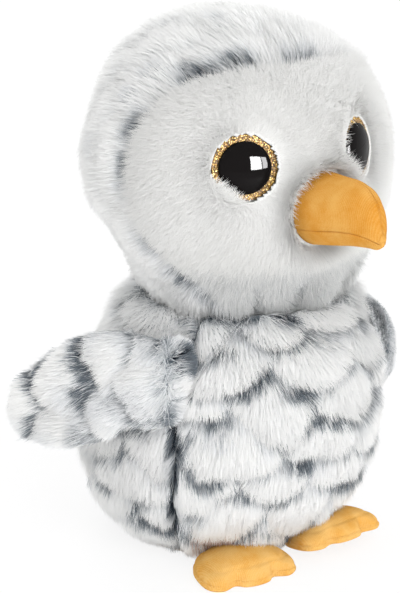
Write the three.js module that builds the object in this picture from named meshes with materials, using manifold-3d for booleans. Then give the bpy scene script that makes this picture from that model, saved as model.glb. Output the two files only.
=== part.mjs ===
// A stuffed plush owl, standing on a flat base, made of sewn panels over fillings.
// Millimetres, +Z up. The owl faces -Y, so its own left side is at +X.
// The origin is the centre of the owl's width, on the surface that it stands on.

import * as THREE from 'three';
import { mergeVertices } from 'three/addons/utils/BufferGeometryUtils.js';
import Module from 'manifold-3d';

const wasm = await Module();
wasm.setup();

// Gap between pieces that are sewn or pressed together
const seamGap = 0.3;
// How far a cutting shape runs past what it cuts
const cutOverrun = 200;

// Body: an upright egg that leans a little forward from a flat base
const bodyHalfWidth = 67;
const bodyHalfDepth = 65;
const bodyWidestHeight = 57;
const baseHalfWidth = 40;
const neckHeight = 118;
const neckHalfWidth = 44;
const bodyFabricThickness = 9;
const baseFabricThickness = 4;
const bodyFullnessShare = 2.4;
const bodyLeanShare = 0.14;
const bodyWidestBack = 4.5;
const sideSeamDegrees = 57.5;

// Pellet pouch, on the base panel inside the body
const pouchHalfWidth = 31;
const pouchHeight = 24;
const pouchFullnessShare = 2;

// Head: a round ball on the neck seam, a little ahead of the body
const headHalfWidth = 68;
const headHalfDepth = 63;
const headWidestRise = 55;
const headTopRise = 61;
const headForward = 2;
const headFabricThickness = 8;
const headFullnessShare = 2.1;

// Face panel: an oval on the front of the head, given by how far it reaches round
const faceSideDegrees = 76;
const faceTopDegrees = 47;
const faceBottomDegrees = 56;
const faceUpperFullnessShare = 3.2;
const faceLowerFullnessShare = 1.7;

// Eyes: a domed eye on a glitter disc, its shank held by a washer inside
const eyeDomeDiameter = 21.5;
const eyeDomeHeight = 3.2;
const glitterDiscDiameter = 27;
const glitterDiscThickness = 1.2;
const eyeShankDiameter = 5;
const eyeShankLength = 10;
const eyeWasherDiameter = 16;
const eyeWasherThickness = 2;
const eyeBackingThickness = 2;
const eyeRise = 9;
const eyeSpreadDegrees = 34;
const eyeFacingDegrees = 27;
const eyeLiftDegrees = 6;
const eyeSocketDepth = 8.5;
const eyeSocketDegrees = 22;
const eyeRimWidth = 7;
const eyeRimDepth = 11;

// Beak: a short blunt wedge with a curved ridge, sewn to the backing of the face
const beakWidth = 28;
const beakHeight = 31;
const beakLength = 39;
const beakBelowMiddle = 12;
const beakFabricThickness = 1.6;
const beakBackingThickness = 2;
const beakUnderPanelShare = 0.24;

// Wings: padded leaves sewn into the side seams, the left one folded back round the body
const wingLength = 71;
const wingHeight = 57;
const wingThickness = 17;
const wingSeamHeight = 90;
const wingSeamLength = 28;
const wingFabricThickness = 5;
const leftWingOpenDegrees = 9;
const leftWingDroopDegrees = 32;
const leftWingCurlDegrees = 56;
const leftWingSagDegrees = 44;
const rightWingOpenDegrees = 24;
const rightWingDroopDegrees = 13;
const rightWingCurlDegrees = 8;
const rightWingSagDegrees = 12;
const wingFoldDegrees = 4;
const wingSwingDegrees = 60;

// Feet: flat pads with three toes, sewn in under the belly
const footLength = 32;
const footWidth = 43;
const footThickness = 12.5;
const footSpacing = 45;
const leftFootTurnDegrees = 5;
const leftFootTiltDegrees = 13;
const rightFootTurnDegrees = 6;
const rightFootTiltDegrees = 0;
const footFabricThickness = 2.4;
const footRaiseDegrees = 10;
const footDropDegrees = 25;
const heelSeamHeight = 2.6;
const heelSeamInset = 2;

// Numbers of steps round and along the curved forms
const formSteps = { round: 30, rise: 14 };
const fillingSteps = { round: 15, rise: 7 };
const faceEdgeSteps = 28;
const beakRoundSteps = 16;
const padSteps = { crown: 3, wingOutline: 22, footOutline: 32 };
const eyeSteps = { round: 20, dome: 5 };
// Halvings used to find the height of a point on the body's surface
const searchSteps = 40;

function surface(name, color, roughness = 0.95, metalness = 0) {
  return new THREE.MeshStandardMaterial({ name, color, roughness, metalness });
}

const materials = {
  bodyFur: surface('grey_tipped_long_pile', 0xd6dadc),
  hoodFur: surface('white_long_pile', 0xe2e2e0),
  faceFur: surface('white_short_pile', 0xe6e6e4),
  wingFur: surface('wing_long_pile', 0xcfd4d7),
  baseFur: surface('base_fabric', 0xd8d2cc),
  beakFabric: surface('beak_velboa', 0xeea54b),
  footFabric: surface('foot_velboa', 0xf2ba63),
  fibre: surface('polyester_fibre', 0xf4f4f0),
  pouch: surface('pouch_cloth', 0xe4dccb),
  eyeBlack: surface('eye_black', 0x080808, 0.08),
  glitter: surface('gold_glitter', 0xa97c35, 0.4, 0.6),
  washer: surface('white_plastic', 0xeeeeea, 0.5),
};

const radians = THREE.MathUtils.degToRad;
const inDegrees = THREE.MathUtils.radToDeg;

// Compass direction in plan: 0 is the front, positive towards the owl's left
const heading = (degrees) => new THREE.Vector3(Math.sin(radians(degrees)), -Math.cos(radians(degrees)), 0);

function direction(headingDegrees, riseDegrees) {
  const flat = heading(headingDegrees).multiplyScalar(Math.cos(radians(riseDegrees)));
  return flat.setZ(Math.sin(radians(riseDegrees)));
}

// Closed solids from geometry, and geometry from closed solids
function solidOf(geometry) {
  const plain = geometry.clone();
  plain.deleteAttribute('normal');
  plain.deleteAttribute('uv');
  const merged = mergeVertices(plain);
  return new wasm.Manifold(new wasm.Mesh({
    numProp: 3,
    vertProperties: Float32Array.from(merged.attributes.position.array),
    triVerts: Uint32Array.from(merged.index.array),
  }));
}

function geometryOf(solid) {
  const mesh = solid.getMesh();
  const geometry = new THREE.BufferGeometry();
  geometry.setAttribute('position', new THREE.BufferAttribute(Float32Array.from(mesh.vertProperties), 3));
  geometry.setIndex([...mesh.triVerts]);
  geometry.computeVertexNormals();
  return geometry;
}

function moved(solid, matrix) {
  return solidOf(geometryOf(solid).applyMatrix4(matrix));
}

function shifted(solid, x, y, z) {
  return moved(solid, new THREE.Matrix4().makeTranslation(x, y, z));
}

// A closed skin from a start point, over rings that run the same way round, to an end point
function closedSkin(start, rings, end) {
  const count = rings[0].length;
  const points = [start, ...rings.flat(), end];
  const faces = [];
  const at = (ring, step) => 1 + ring * count + (step % count);
  for (let step = 0; step < count; step += 1) {
    faces.push(0, at(0, step + 1), at(0, step));
    for (let ring = 0; ring < rings.length - 1; ring += 1) {
      faces.push(at(ring, step), at(ring, step + 1), at(ring + 1, step + 1));
      faces.push(at(ring, step), at(ring + 1, step + 1), at(ring + 1, step));
    }
    faces.push(at(rings.length - 1, step), at(rings.length - 1, step + 1), points.length - 1);
  }
  const geometry = new THREE.BufferGeometry().setFromPoints(points);
  geometry.setIndex(faces);
  return geometry;
}

// A stuffed ball or egg: reach(direction) is how far its skin lies from its centre
function stuffedForm(centre, reach, steps, leanShare = 0) {
  const place = (way) => {
    const point = way.clone().multiplyScalar(reach(way));
    point.y -= point.z * leanShare;
    return point.add(centre);
  };
  const rings = [];
  for (let row = 1; row < steps.rise; row += 1) {
    const rise = -90 + (180 * row) / steps.rise;
    const ring = [];
    for (let step = 0; step < steps.round; step += 1) {
      ring.push(place(direction((360 * step) / steps.round, rise)));
    }
    rings.push(ring);
  }
  return closedSkin(place(direction(0, -90)), rings, place(direction(0, 90)));
}

// How far an egg reaches in one direction, from its half sizes
function eggReach(way, halfWidth, halfDepth, halfHeight, fullness) {
  const side = Math.hypot(way.x / halfWidth, way.y / halfDepth);
  return (side ** fullness + Math.abs(way.z / halfHeight) ** fullness) ** (-1 / fullness);
}

// Half height that an egg needs to be narrowed to a share of its width at a given rise
const heightForShare = (rise, share, fullness) => rise / (1 - share ** fullness) ** (1 / fullness);

// Cutting blocks
function block(low, high) {
  const size = new THREE.Vector3().subVectors(high, low);
  const box = new THREE.BoxGeometry(size.x, size.y, size.z);
  const middle = new THREE.Vector3().addVectors(low, high).multiplyScalar(0.5);
  return solidOf(box.translate(middle.x, middle.y, middle.z));
}

function level(lowest, highest) {
  const low = new THREE.Vector3(-cutOverrun, -cutOverrun, lowest);
  return block(low, new THREE.Vector3(cutOverrun, cutOverrun, highest));
}

const above = (height) => level(height, height + cutOverrun + cutOverrun);
const below = (height) => level(height - cutOverrun - cutOverrun, height);

function sideHalf(side) {
  const near = side * seamGap * 0.5;
  const far = side * cutOverrun;
  const low = new THREE.Vector3(Math.min(near, far), -cutOverrun, -cutOverrun);
  const high = new THREE.Vector3(Math.max(near, far), cutOverrun, cutOverrun + cutOverrun);
  return block(low, high);
}

// An upright slice between two headings from a centre, set in by half a seam gap on both sides
function slice(centre, fromDegrees, toDegrees) {
  const middle = (fromDegrees + toDegrees) / 2;
  const half = (toDegrees - fromDegrees) / 2;
  const setIn = (seamGap * 0.5) / Math.sin(radians(half));
  const tip = centre.clone().add(heading(middle).multiplyScalar(setIn));
  const corners = [fromDegrees, middle, toDegrees].map(
    (degrees) => tip.clone().add(heading(degrees).multiplyScalar(cutOverrun)),
  );
  const outline = new THREE.Shape([tip, ...corners].map((point) => new THREE.Vector2(point.x, point.y)));
  const prism = new THREE.ExtrudeGeometry(outline, { depth: cutOverrun, bevelEnabled: false, steps: 1 });
  return solidOf(prism);
}

// A turned form about the local Z axis, from radius and height pairs that start and end on the axis
function turned(pairs) {
  const profile = pairs.map(([radius, height]) => new THREE.Vector2(radius, height));
  return solidOf(new THREE.LatheGeometry(profile, eyeSteps.round).rotateX(Math.PI / 2));
}

// A round plug between two heights on the local Z axis
const plug = (radius, low, high) => turned([[0, low], [radius, low], [radius, high], [0, high]]);

// A washer or disc with a hole, between two heights on the local Z axis
function ringPlate(outer, inner, low, high) {
  return turned([[inner, low], [outer, low], [outer, high], [inner, high], [inner, low]]);
}

// The group that holds the whole owl, and how a named piece is put into a group
const owl = new THREE.Group();
owl.name = 'plush_owl';

function addPiece(group, name, solid, material) {
  const mesh = new THREE.Mesh(geometryOf(solid), material);
  mesh.name = name;
  group.add(mesh);
}

// BODY
const bodyCentre = new THREE.Vector3(0, bodyWidestBack, bodyWidestHeight);

function bodyReach(inset) {
  const width = bodyHalfWidth - inset;
  const depth = bodyHalfDepth - inset;
  const toNeck = neckHeight - bodyWidestHeight;
  const down = heightForShare(bodyWidestHeight, baseHalfWidth / bodyHalfWidth, bodyFullnessShare) - inset;
  const up = heightForShare(toNeck, neckHalfWidth / bodyHalfWidth, bodyFullnessShare) - inset;
  return (way) => eggReach(way, width, depth, way.z < 0 ? down : up, bodyFullnessShare);
}

const bodyForm = (inset, steps = formSteps) => solidOf(
  stuffedForm(bodyCentre, bodyReach(inset), steps, bodyLeanShare),
);

// Point on the body's surface at a heading and height
function bodyPoint(headingDegrees, height) {
  const reach = bodyReach(0);
  let low = -90;
  let high = 90;
  let point = new THREE.Vector3();
  for (let step = 0; step < searchSteps; step += 1) {
    const rise = (low + high) / 2;
    const way = direction(headingDegrees, rise);
    point = way.multiplyScalar(reach(way));
    if (point.z < height - bodyWidestHeight) low = rise;
    else high = rise;
  }
  point.y -= point.z * bodyLeanShare;
  return point.add(bodyCentre);
}

function addBody() {
  const outer = bodyForm(0);
  const shellFloor = baseFabricThickness + seamGap;
  const neckSeam = neckHeight - seamGap * 0.5;
  const shell = outer.subtract(bodyForm(bodyFabricThickness)).intersect(level(shellFloor, neckSeam));
  const panels = {
    body_front_panel: [-sideSeamDegrees, sideSeamDegrees],
    body_back_left_panel: [sideSeamDegrees, 180],
    body_back_right_panel: [180, 360 - sideSeamDegrees],
  };
  for (const [name, [from, to]] of Object.entries(panels)) {
    addPiece(owl, name, shell.intersect(slice(bodyCentre, from, to)), materials.bodyFur);
  }
  addPiece(owl, 'base_panel', outer.intersect(level(0, baseFabricThickness)), materials.baseFur);

  const pouchPlace = bodyPoint(0, shellFloor).add(bodyPoint(180, shellFloor)).multiplyScalar(0.5);
  const pouchForm = (grow) => {
    const width = pouchHalfWidth + grow;
    const height = pouchHeight + grow;
    const reach = (way) => eggReach(way, width, width, height, pouchFullnessShare);
    return solidOf(stuffedForm(pouchPlace, reach, fillingSteps));
  };
  const core = bodyForm(bodyFabricThickness + seamGap, fillingSteps);
  const inside = core.intersect(level(shellFloor, neckSeam));
  addPiece(owl, 'pellet_pouch', pouchForm(0).intersect(inside), materials.pouch);
  const filling = inside.subtract(pouchForm(seamGap));
  addPiece(owl, 'body_filling', filling, materials.fibre);
}

// HEAD
const headCentre = new THREE.Vector3(0, -headForward, neckHeight + headWidestRise);
const eyeRiseDegrees = inDegrees(Math.atan2(eyeRise, headHalfDepth));

function headReach(inset) {
  const width = headHalfWidth - inset;
  const depth = headHalfDepth - inset;
  const down = heightForShare(headWidestRise, neckHalfWidth / headHalfWidth, headFullnessShare) - inset;
  const sockets = [-1, 1].map((side) => direction(side * eyeSpreadDegrees, eyeRiseDegrees));
  return (way) => {
    let reach = eggReach(way, width, depth, way.z < 0 ? down : headTopRise - inset, headFullnessShare);
    for (const socket of sockets) {
      const away = inDegrees(way.angleTo(socket)) / eyeSocketDegrees;
      reach -= eyeSocketDepth * Math.exp(-away * away);
    }
    return reach;
  };
}

const headForm = (inset) => solidOf(stuffedForm(headCentre, headReach(inset), formSteps));

// The face panel's edge as a cone from the middle of the head
function faceCone(growDegrees) {
  const edge = [];
  for (let step = 0; step < faceEdgeSteps; step += 1) {
    const turn = (2 * Math.PI * step) / faceEdgeSteps;
    const bend = 2 / (step * 2 < faceEdgeSteps ? faceUpperFullnessShare : faceLowerFullnessShare);
    const across = Math.sign(Math.cos(turn)) * Math.abs(Math.cos(turn)) ** bend;
    const up = Math.sign(Math.sin(turn)) * Math.abs(Math.sin(turn)) ** bend;
    const reach = up > 0 ? faceTopDegrees : faceBottomDegrees;
    const way = direction(across * (faceSideDegrees + growDegrees), up * (reach + growDegrees));
    edge.push(way.multiplyScalar(cutOverrun).add(headCentre));
  }
  const front = headCentre.clone().add(heading(0).multiplyScalar(cutOverrun));
  return solidOf(closedSkin(headCentre.clone(), [edge], front));
}

// Where something sits on the backing of the face, in a direction from the middle of the head
function faceSeat(way, backing) {
  const reach = headReach(headFabricThickness)(way) + backing + seamGap;
  return way.clone().multiplyScalar(reach).add(headCentre);
}

// Place and direction of an eye: the group's own Z points out of the head
function eyeFrame(side) {
  const place = faceSeat(direction(side * eyeSpreadDegrees, eyeRiseDegrees), eyeBackingThickness);
  const facing = direction(side * eyeFacingDegrees, eyeLiftDegrees);
  const turn = new THREE.Quaternion().setFromUnitVectors(new THREE.Vector3(0, 0, 1), facing);
  return new THREE.Matrix4().compose(place, turn, new THREE.Vector3(1, 1, 1));
}

// Heights on an eye's own axis, from the back of the glitter disc
const eyeLevels = {
  floor: -seamGap,
  domeSeat: glitterDiscThickness + seamGap,
  backing: -seamGap - eyeBackingThickness,
  washerTop: -seamGap - eyeBackingThickness - seamGap,
  shankEnd: glitterDiscThickness + seamGap - eyeShankLength,
};

// The room that an eye needs in the face panel, with the pile pressed open round its rim
function eyeSocketCut(side) {
  const disc = glitterDiscDiameter * 0.5 + seamGap;
  const hole = eyeShankDiameter * 0.5 + seamGap;
  const washer = eyeWasherDiameter * 0.5 + seamGap;
  const rim = turned([
    [0, eyeLevels.floor],
    [disc, eyeLevels.floor],
    [disc, eyeLevels.domeSeat],
    [disc + eyeRimWidth, eyeLevels.domeSeat + eyeRimDepth],
    [disc + eyeRimWidth, cutOverrun],
    [0, cutOverrun],
  ]);
  const shankHole = plug(hole, -eyeShankLength, eyeLevels.domeSeat);
  const washerRoom = plug(washer, -eyeShankLength, eyeLevels.backing);
  return moved(rim.add(shankHole).add(washerRoom), eyeFrame(side));
}

// A round plug along an eye's axis, from a depth to well outside the head
const eyePlug = (side, radius, depth) => moved(plug(radius, depth, cutOverrun), eyeFrame(side));

// The pocket of backing fabric that an eye is pressed into
function eyePocket(side, grow) {
  const radius = glitterDiscDiameter * 0.5 + seamGap + eyeBackingThickness + grow;
  return eyePlug(side, radius, eyeLevels.backing - grow);
}

// The room that the pocket, the washer and the shank's end need in the filling
function eyeFillingCut(side) {
  const washer = eyeWasherDiameter * 0.5 + seamGap;
  return eyePocket(side, seamGap).add(eyePlug(side, washer, eyeLevels.shankEnd - seamGap));
}

function addEye(headGroup, side, name) {
  const group = new THREE.Group();
  eyeFrame(side).decompose(group.position, group.quaternion, group.scale);
  headGroup.add(group);
  const shank = eyeShankDiameter * 0.5;
  const hole = shank + seamGap;
  const domeRadius = eyeDomeDiameter * 0.5;
  const dome = [[0, eyeLevels.shankEnd], [shank, eyeLevels.shankEnd], [shank, eyeLevels.domeSeat]];
  for (let step = 0; step <= eyeSteps.dome; step += 1) {
    const turn = (Math.PI * 0.5 * step) / eyeSteps.dome;
    const radius = step === eyeSteps.dome ? 0 : domeRadius * Math.cos(turn);
    dome.push([radius, eyeLevels.domeSeat + eyeDomeHeight * Math.sin(turn)]);
  }
  addPiece(group, `eye_dome_${name}`, turned(dome), materials.eyeBlack);
  const disc = ringPlate(glitterDiscDiameter * 0.5, hole, 0, glitterDiscThickness);
  addPiece(group, `eye_glitter_disc_${name}`, disc, materials.glitter);
  const washerLow = eyeLevels.washerTop - eyeWasherThickness;
  const washer = ringPlate(eyeWasherDiameter * 0.5, hole, washerLow, eyeLevels.washerTop);
  addPiece(group, `eye_washer_${name}`, washer, materials.washer);
}

// BEAK
// Shape along the beak, as shares of its length, width and height
const beakShapeShares = [
  { along: 0, wide: 1, top: 0.5, bottom: -0.5 },
  { along: 0.3, wide: 0.92, top: 0.5, bottom: -0.42 },
  { along: 0.6, wide: 0.7, top: 0.5, bottom: -0.34 },
  { along: 0.82, wide: 0.47, top: 0.4, bottom: -0.3 },
  { along: 0.95, wide: 0.27, top: 0.18, bottom: -0.28 },
  { along: 1, wide: 0.12, top: -0.06, bottom: -0.24 },
];

const beakDropDegrees = inDegrees(Math.atan2(-beakBelowMiddle, headHalfDepth));
const beakBase = faceSeat(direction(0, beakDropDegrees), beakBackingThickness);

function beakForm(inset) {
  const rings = beakShapeShares.map(({ along, wide, top, bottom }) => {
    const ring = [];
    const halfWidth = Math.max(beakWidth * wide * 0.5 - inset, seamGap);
    const halfHeight = Math.max(beakHeight * (top - bottom) * 0.5 - inset, seamGap);
    const middle = beakHeight * (top + bottom) * 0.5;
    for (let step = 0; step < beakRoundSteps; step += 1) {
      const turn = (2 * Math.PI * step) / beakRoundSteps;
      ring.push(new THREE.Vector3(
        beakBase.x + halfWidth * Math.cos(turn),
        beakBase.y - (beakLength - inset) * along,
        beakBase.z + middle + halfHeight * Math.sin(turn),
      ));
    }
    return ring;
  });
  const last = rings.at(-1);
  const tip = last[0].clone().add(last[beakRoundSteps / 2]).multiplyScalar(0.5);
  return solidOf(closedSkin(beakBase, rings, tip));
}

function addBeak(headGroup) {
  const hollow = shifted(beakForm(beakFabricThickness), 0, seamGap, 0);
  const shell = beakForm(0).subtract(hollow);
  const underTop = beakBase.z - beakHeight * beakUnderPanelShare;
  const upper = shell.intersect(above(underTop + seamGap * 0.5));
  addPiece(headGroup, 'beak_left_panel', upper.intersect(sideHalf(1)), materials.beakFabric);
  addPiece(headGroup, 'beak_right_panel', upper.intersect(sideHalf(-1)), materials.beakFabric);
  const lower = shell.intersect(below(underTop - seamGap * 0.5));
  addPiece(headGroup, 'beak_under_panel', lower, materials.beakFabric);
  addPiece(headGroup, 'beak_filling', beakForm(beakFabricThickness + seamGap), materials.fibre);
}

// The room that the beak needs in the face panel's pile
function beakRoom() {
  const low = new THREE.Vector3(-cutOverrun, -cutOverrun, beakBase.z - cutOverrun);
  const high = new THREE.Vector3(cutOverrun, beakBase.y + seamGap, beakBase.z + cutOverrun);
  return shifted(beakForm(-seamGap), 0, seamGap, 0).intersect(block(low, high));
}

function addHead() {
  const group = new THREE.Group();
  owl.add(group);
  const neckSeam = neckHeight + seamGap * 0.5;
  const shell = headForm(0).subtract(headForm(headFabricThickness)).intersect(above(neckSeam));
  const growDegrees = inDegrees(seamGap / headHalfDepth);
  let face = shell.intersect(faceCone(0)).subtract(beakRoom());
  let filling = headForm(headFabricThickness + seamGap).intersect(above(neckSeam));
  for (const side of [-1, 1]) {
    face = face.add(headForm(0).intersect(eyePocket(side, 0))).subtract(eyeSocketCut(side));
    filling = filling.subtract(eyeFillingCut(side));
  }
  addPiece(group, 'face_panel', face, materials.faceFur);
  const hood = shell.subtract(faceCone(growDegrees));
  addPiece(group, 'hood_left_panel', hood.intersect(sideHalf(1)), materials.hoodFur);
  addPiece(group, 'hood_right_panel', hood.intersect(sideHalf(-1)), materials.hoodFur);
  addPiece(group, 'head_filling', filling, materials.fibre);
  addEye(group, 1, 'left');
  addEye(group, -1, 'right');
  addBeak(group);
}

// PADS: wings and feet
// A padded leaf about a local plane: an outline, crowned by topHeight above and bottomHeight below
function padForm(outline, middle, topHeight, bottomHeight) {
  const rings = [];
  const steps = padSteps.crown;
  for (let step = 1 - steps; step < steps; step += 1) {
    const turn = (Math.PI * 0.5 * step) / steps;
    const spread = Math.cos(turn);
    const height = Math.sin(turn) * (step > 0 ? topHeight : bottomHeight);
    rings.push(outline.map((point) => new THREE.Vector3(
      middle.x + (point.x - middle.x) * spread,
      middle.y + (point.y - middle.y) * spread,
      height,
    )));
  }
  const low = new THREE.Vector3(middle.x, middle.y, -bottomHeight);
  return solidOf(closedSkin(low, rings, new THREE.Vector3(middle.x, middle.y, topHeight)));
}

// A closed smooth outline through points that run counterclockwise
function roundedOutline(points, count) {
  return new THREE.CatmullRomCurve3(points, true, 'centripetal').getPoints(count).slice(0, count);
}

// The same outline drawn in by an inset, seen from its middle
function drawnIn(outline, middle, inset) {
  return outline.map((point) => {
    const away = new THREE.Vector3(point.x - middle.x, point.y - middle.y, 0);
    const length = away.length();
    return new THREE.Vector3(middle.x, middle.y, 0).addScaledVector(away, (length - inset) / length);
  });
}

// Turns a solid about an axis through a point
function turnedAbout(solid, point, axis, degrees) {
  const matrix = new THREE.Matrix4().makeTranslation(point.x, point.y, point.z);
  matrix.multiply(new THREE.Matrix4().makeRotationAxis(axis, radians(degrees)));
  matrix.multiply(new THREE.Matrix4().makeTranslation(-point.x, -point.y, -point.z));
  return moved(solid, matrix);
}

// Curls a pad down round a post behind it, by so many degrees over a length; axis is 0 for X, 1 for Y
function curled(solid, axis, length, degrees) {
  const radius = length / radians(degrees);
  const geometry = geometryOf(solid);
  const points = geometry.getAttribute('position');
  for (let step = 0; step < points.count; step += 1) {
    const turn = points.getComponent(step, axis) / radius;
    const reach = radius + points.getZ(step);
    points.setComponent(step, axis, reach * Math.sin(turn));
    points.setZ(step, reach * Math.cos(turn) - radius);
  }
  return solidOf(geometry);
}

// WINGS
// Outline from the seam at 0 to the tip at 1, as shares of the wing's length and height
const wingEdgeShares = [
  [0.18, -0.28], [0.42, -0.43], [0.68, -0.47], [0.92, -0.34], [1, -0.14],
  [0.93, 0.08], [0.76, 0.28], [0.5, 0.45], [0.2, 0.44],
];
const wingMiddleShare = 0.42;

// The wing's frame: X from the seam to the tip, Y up along the seam, Z away from the body
function wingFrame(side, openDegrees) {
  const seat = bodyPoint(side * sideSeamDegrees, wingSeamHeight);
  const up = bodyPoint(side * sideSeamDegrees, wingSeamHeight + wingSeamLength * 0.5);
  up.sub(bodyPoint(side * sideSeamDegrees, wingSeamHeight - wingSeamLength * 0.5)).normalize();
  const ahead = bodyPoint(side * (sideSeamDegrees - 1), wingSeamHeight);
  const back = bodyPoint(side * (sideSeamDegrees + 1), wingSeamHeight).sub(ahead).normalize();
  back.addScaledVector(up, -back.dot(up)).normalize();
  const out = new THREE.Vector3().crossVectors(back, up).multiplyScalar(side).normalize();
  const open = radians(openDegrees);
  const along = back.clone().multiplyScalar(Math.cos(open)).addScaledVector(out, Math.sin(open));
  const away = out.clone().multiplyScalar(Math.cos(open)).addScaledVector(back, -Math.sin(open));
  seat.addScaledVector(out, seamGap + seamGap);
  return { seat, along, up, away };
}

// The outline hangs from its seam: only the seam's two ends stay up and down the body
function wingOutline(droop) {
  const root = wingSeamLength * 0.5;
  const axis = new THREE.Vector3(0, 0, 1);
  const seamEnds = [new THREE.Vector3(0, root, 0), new THREE.Vector3(0, -root, 0)];
  const edge = wingEdgeShares.map(([along, across]) => {
    const point = new THREE.Vector3(along * wingLength, across * wingHeight, 0);
    return point.applyAxisAngle(axis, -droop);
  });
  return roundedOutline([...seamEnds, ...edge], padSteps.wingOutline);
}

function addWing(side, name, openDegrees, droopDegrees, curlDegrees, sagDegrees) {
  const { seat, along, up, away } = wingFrame(side, openDegrees);
  const group = new THREE.Group();
  const frame = new THREE.Matrix4().makeBasis(along, up.clone().multiplyScalar(side), away);
  frame.setPosition(seat);
  frame.decompose(group.position, group.quaternion, group.scale);
  owl.add(group);
  const intoFrame = frame.clone().invert();
  const droop = radians(droopDegrees);
  const outline = wingOutline(droop).map((point) => point.setY(point.y * side));
  if (side < 0) outline.reverse();
  const toMiddle = wingLength * wingMiddleShare;
  const middle = new THREE.Vector2(toMiddle * Math.cos(droop), -side * toMiddle * Math.sin(droop));
  const half = wingThickness * 0.5;
  const pad = (inset) => padForm(drawnIn(outline, middle, inset), middle, half - inset, half - inset);

  const body = bodyForm(-seamGap).add(headForm(-seamGap));
  const swings = [-wingFoldDegrees, wingSwingDegrees * 0.5, wingSwingDegrees];
  const reached = swings.map((degrees) => turnedAbout(body, seat, up, side * degrees));
  const room = moved(reached.reduce((sum, solid) => sum.add(solid), body), intoFrame);
  const sagged = (solid) => curled(solid, 1, wingHeight, sagDegrees);
  const fitted = (solid) => curled(sagged(solid), 0, wingLength, curlDegrees).subtract(room);
  const shell = pad(0).subtract(pad(wingFabricThickness));
  const outer = fitted(shell.intersect(above(seamGap * 0.5)));
  const inner = fitted(shell.intersect(below(-seamGap * 0.5)));
  addPiece(group, `wing_${name}_outer_panel`, outer, materials.wingFur);
  addPiece(group, `wing_${name}_inner_panel`, inner, materials.wingFur);
  addPiece(group, `wing_${name}_filling`, fitted(pad(wingFabricThickness + seamGap)), materials.fibre);
}

// FEET
// Outline from the heel at 0 to the toes at 1, as shares of the foot's length and width
const footEdgeShares = [
  [0.05, 0.26], [0.05, -0.26], [0.3, -0.44], [0.62, -0.5], [0.84, -0.48], [0.94, -0.37], [0.88, -0.22],
  [0.97, -0.13], [1, 0], [0.97, 0.13], [0.88, 0.22], [0.94, 0.37], [0.84, 0.48], [0.62, 0.5], [0.3, 0.44],
];
const footMiddleShare = 0.52;

// The foot's frame: X from the heel to the toes, Y to its side, Z up from the sole
function footFrame(side, turnDegrees, tiltDegrees) {
  const x = side * footSpacing * 0.5;
  const edge = bodyPoint(0, 0);
  const back = bodyPoint(180, 0);
  const middle = (edge.y + back.y) / 2;
  const y = middle - (middle - edge.y) * Math.sqrt(1 - (x / baseHalfWidth) ** 2) - heelSeamInset;
  const along = heading(side * turnDegrees);
  const up = new THREE.Vector3(0, 0, 1);
  const across = new THREE.Vector3().crossVectors(up, along);
  along.applyAxisAngle(across, -radians(tiltDegrees));
  up.applyAxisAngle(across, -radians(tiltDegrees));
  return new THREE.Matrix4().makeBasis(along, across, up).setPosition(x, y, 0);
}

function addFoot(side, name, turnDegrees, tiltDegrees) {
  const frame = footFrame(side, turnDegrees, tiltDegrees);
  const group = new THREE.Group();
  frame.decompose(group.position, group.quaternion, group.scale);
  owl.add(group);
  const intoFrame = frame.clone().invert();
  const edge = footEdgeShares.map(([along, across]) => (
    new THREE.Vector3(along * footLength, across * footWidth, 0)
  ));
  const outline = roundedOutline(edge, padSteps.footOutline);
  const middle = new THREE.Vector2(footLength * footMiddleShare, 0);
  const soleTop = heelSeamHeight - seamGap * 0.5;
  const topFloor = heelSeamHeight + seamGap * 0.5;
  const crown = footThickness - heelSeamHeight;

  const heel = new THREE.Vector3(0, 0, heelSeamHeight);
  const across = new THREE.Vector3(0, 1, 0);
  const body = moved(bodyForm(-seamGap).intersect(above(-seamGap)), intoFrame);
  const room = body
    .add(turnedAbout(body, heel, across, footRaiseDegrees))
    .add(turnedAbout(body, heel, across, -footDropDegrees));

  const sole = new THREE.Shape(outline.map((point) => new THREE.Vector2(point.x, point.y)));
  const slab = new THREE.ExtrudeGeometry(sole, { depth: soleTop, bevelEnabled: false, steps: 1 });
  addPiece(group, `foot_${name}_sole_panel`, solidOf(slab).subtract(room), materials.footFabric);

  const pad = (inset) => {
    const height = crown - inset;
    const form = padForm(drawnIn(outline, middle, inset), middle, height, height);
    return shifted(form, 0, 0, heelSeamHeight);
  };
  const top = pad(0).intersect(above(topFloor)).subtract(pad(footFabricThickness)).subtract(room);
  addPiece(group, `foot_${name}_top_panel`, top, materials.footFabric);
  const filling = pad(footFabricThickness + seamGap).intersect(above(topFloor)).subtract(room);
  addPiece(group, `foot_${name}_filling`, filling, materials.fibre);
}

addBody();
addHead();
addWing(1, 'left', leftWingOpenDegrees, leftWingDroopDegrees, leftWingCurlDegrees, leftWingSagDegrees);
addWing(-1, 'right', rightWingOpenDegrees, rightWingDroopDegrees, rightWingCurlDegrees, rightWingSagDegrees);
addFoot(1, 'left', leftFootTurnDegrees, leftFootTiltDegrees);
addFoot(-1, 'right', rightFootTurnDegrees, rightFootTiltDegrees);

export default owl;
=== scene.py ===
import itertools
import math

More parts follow.
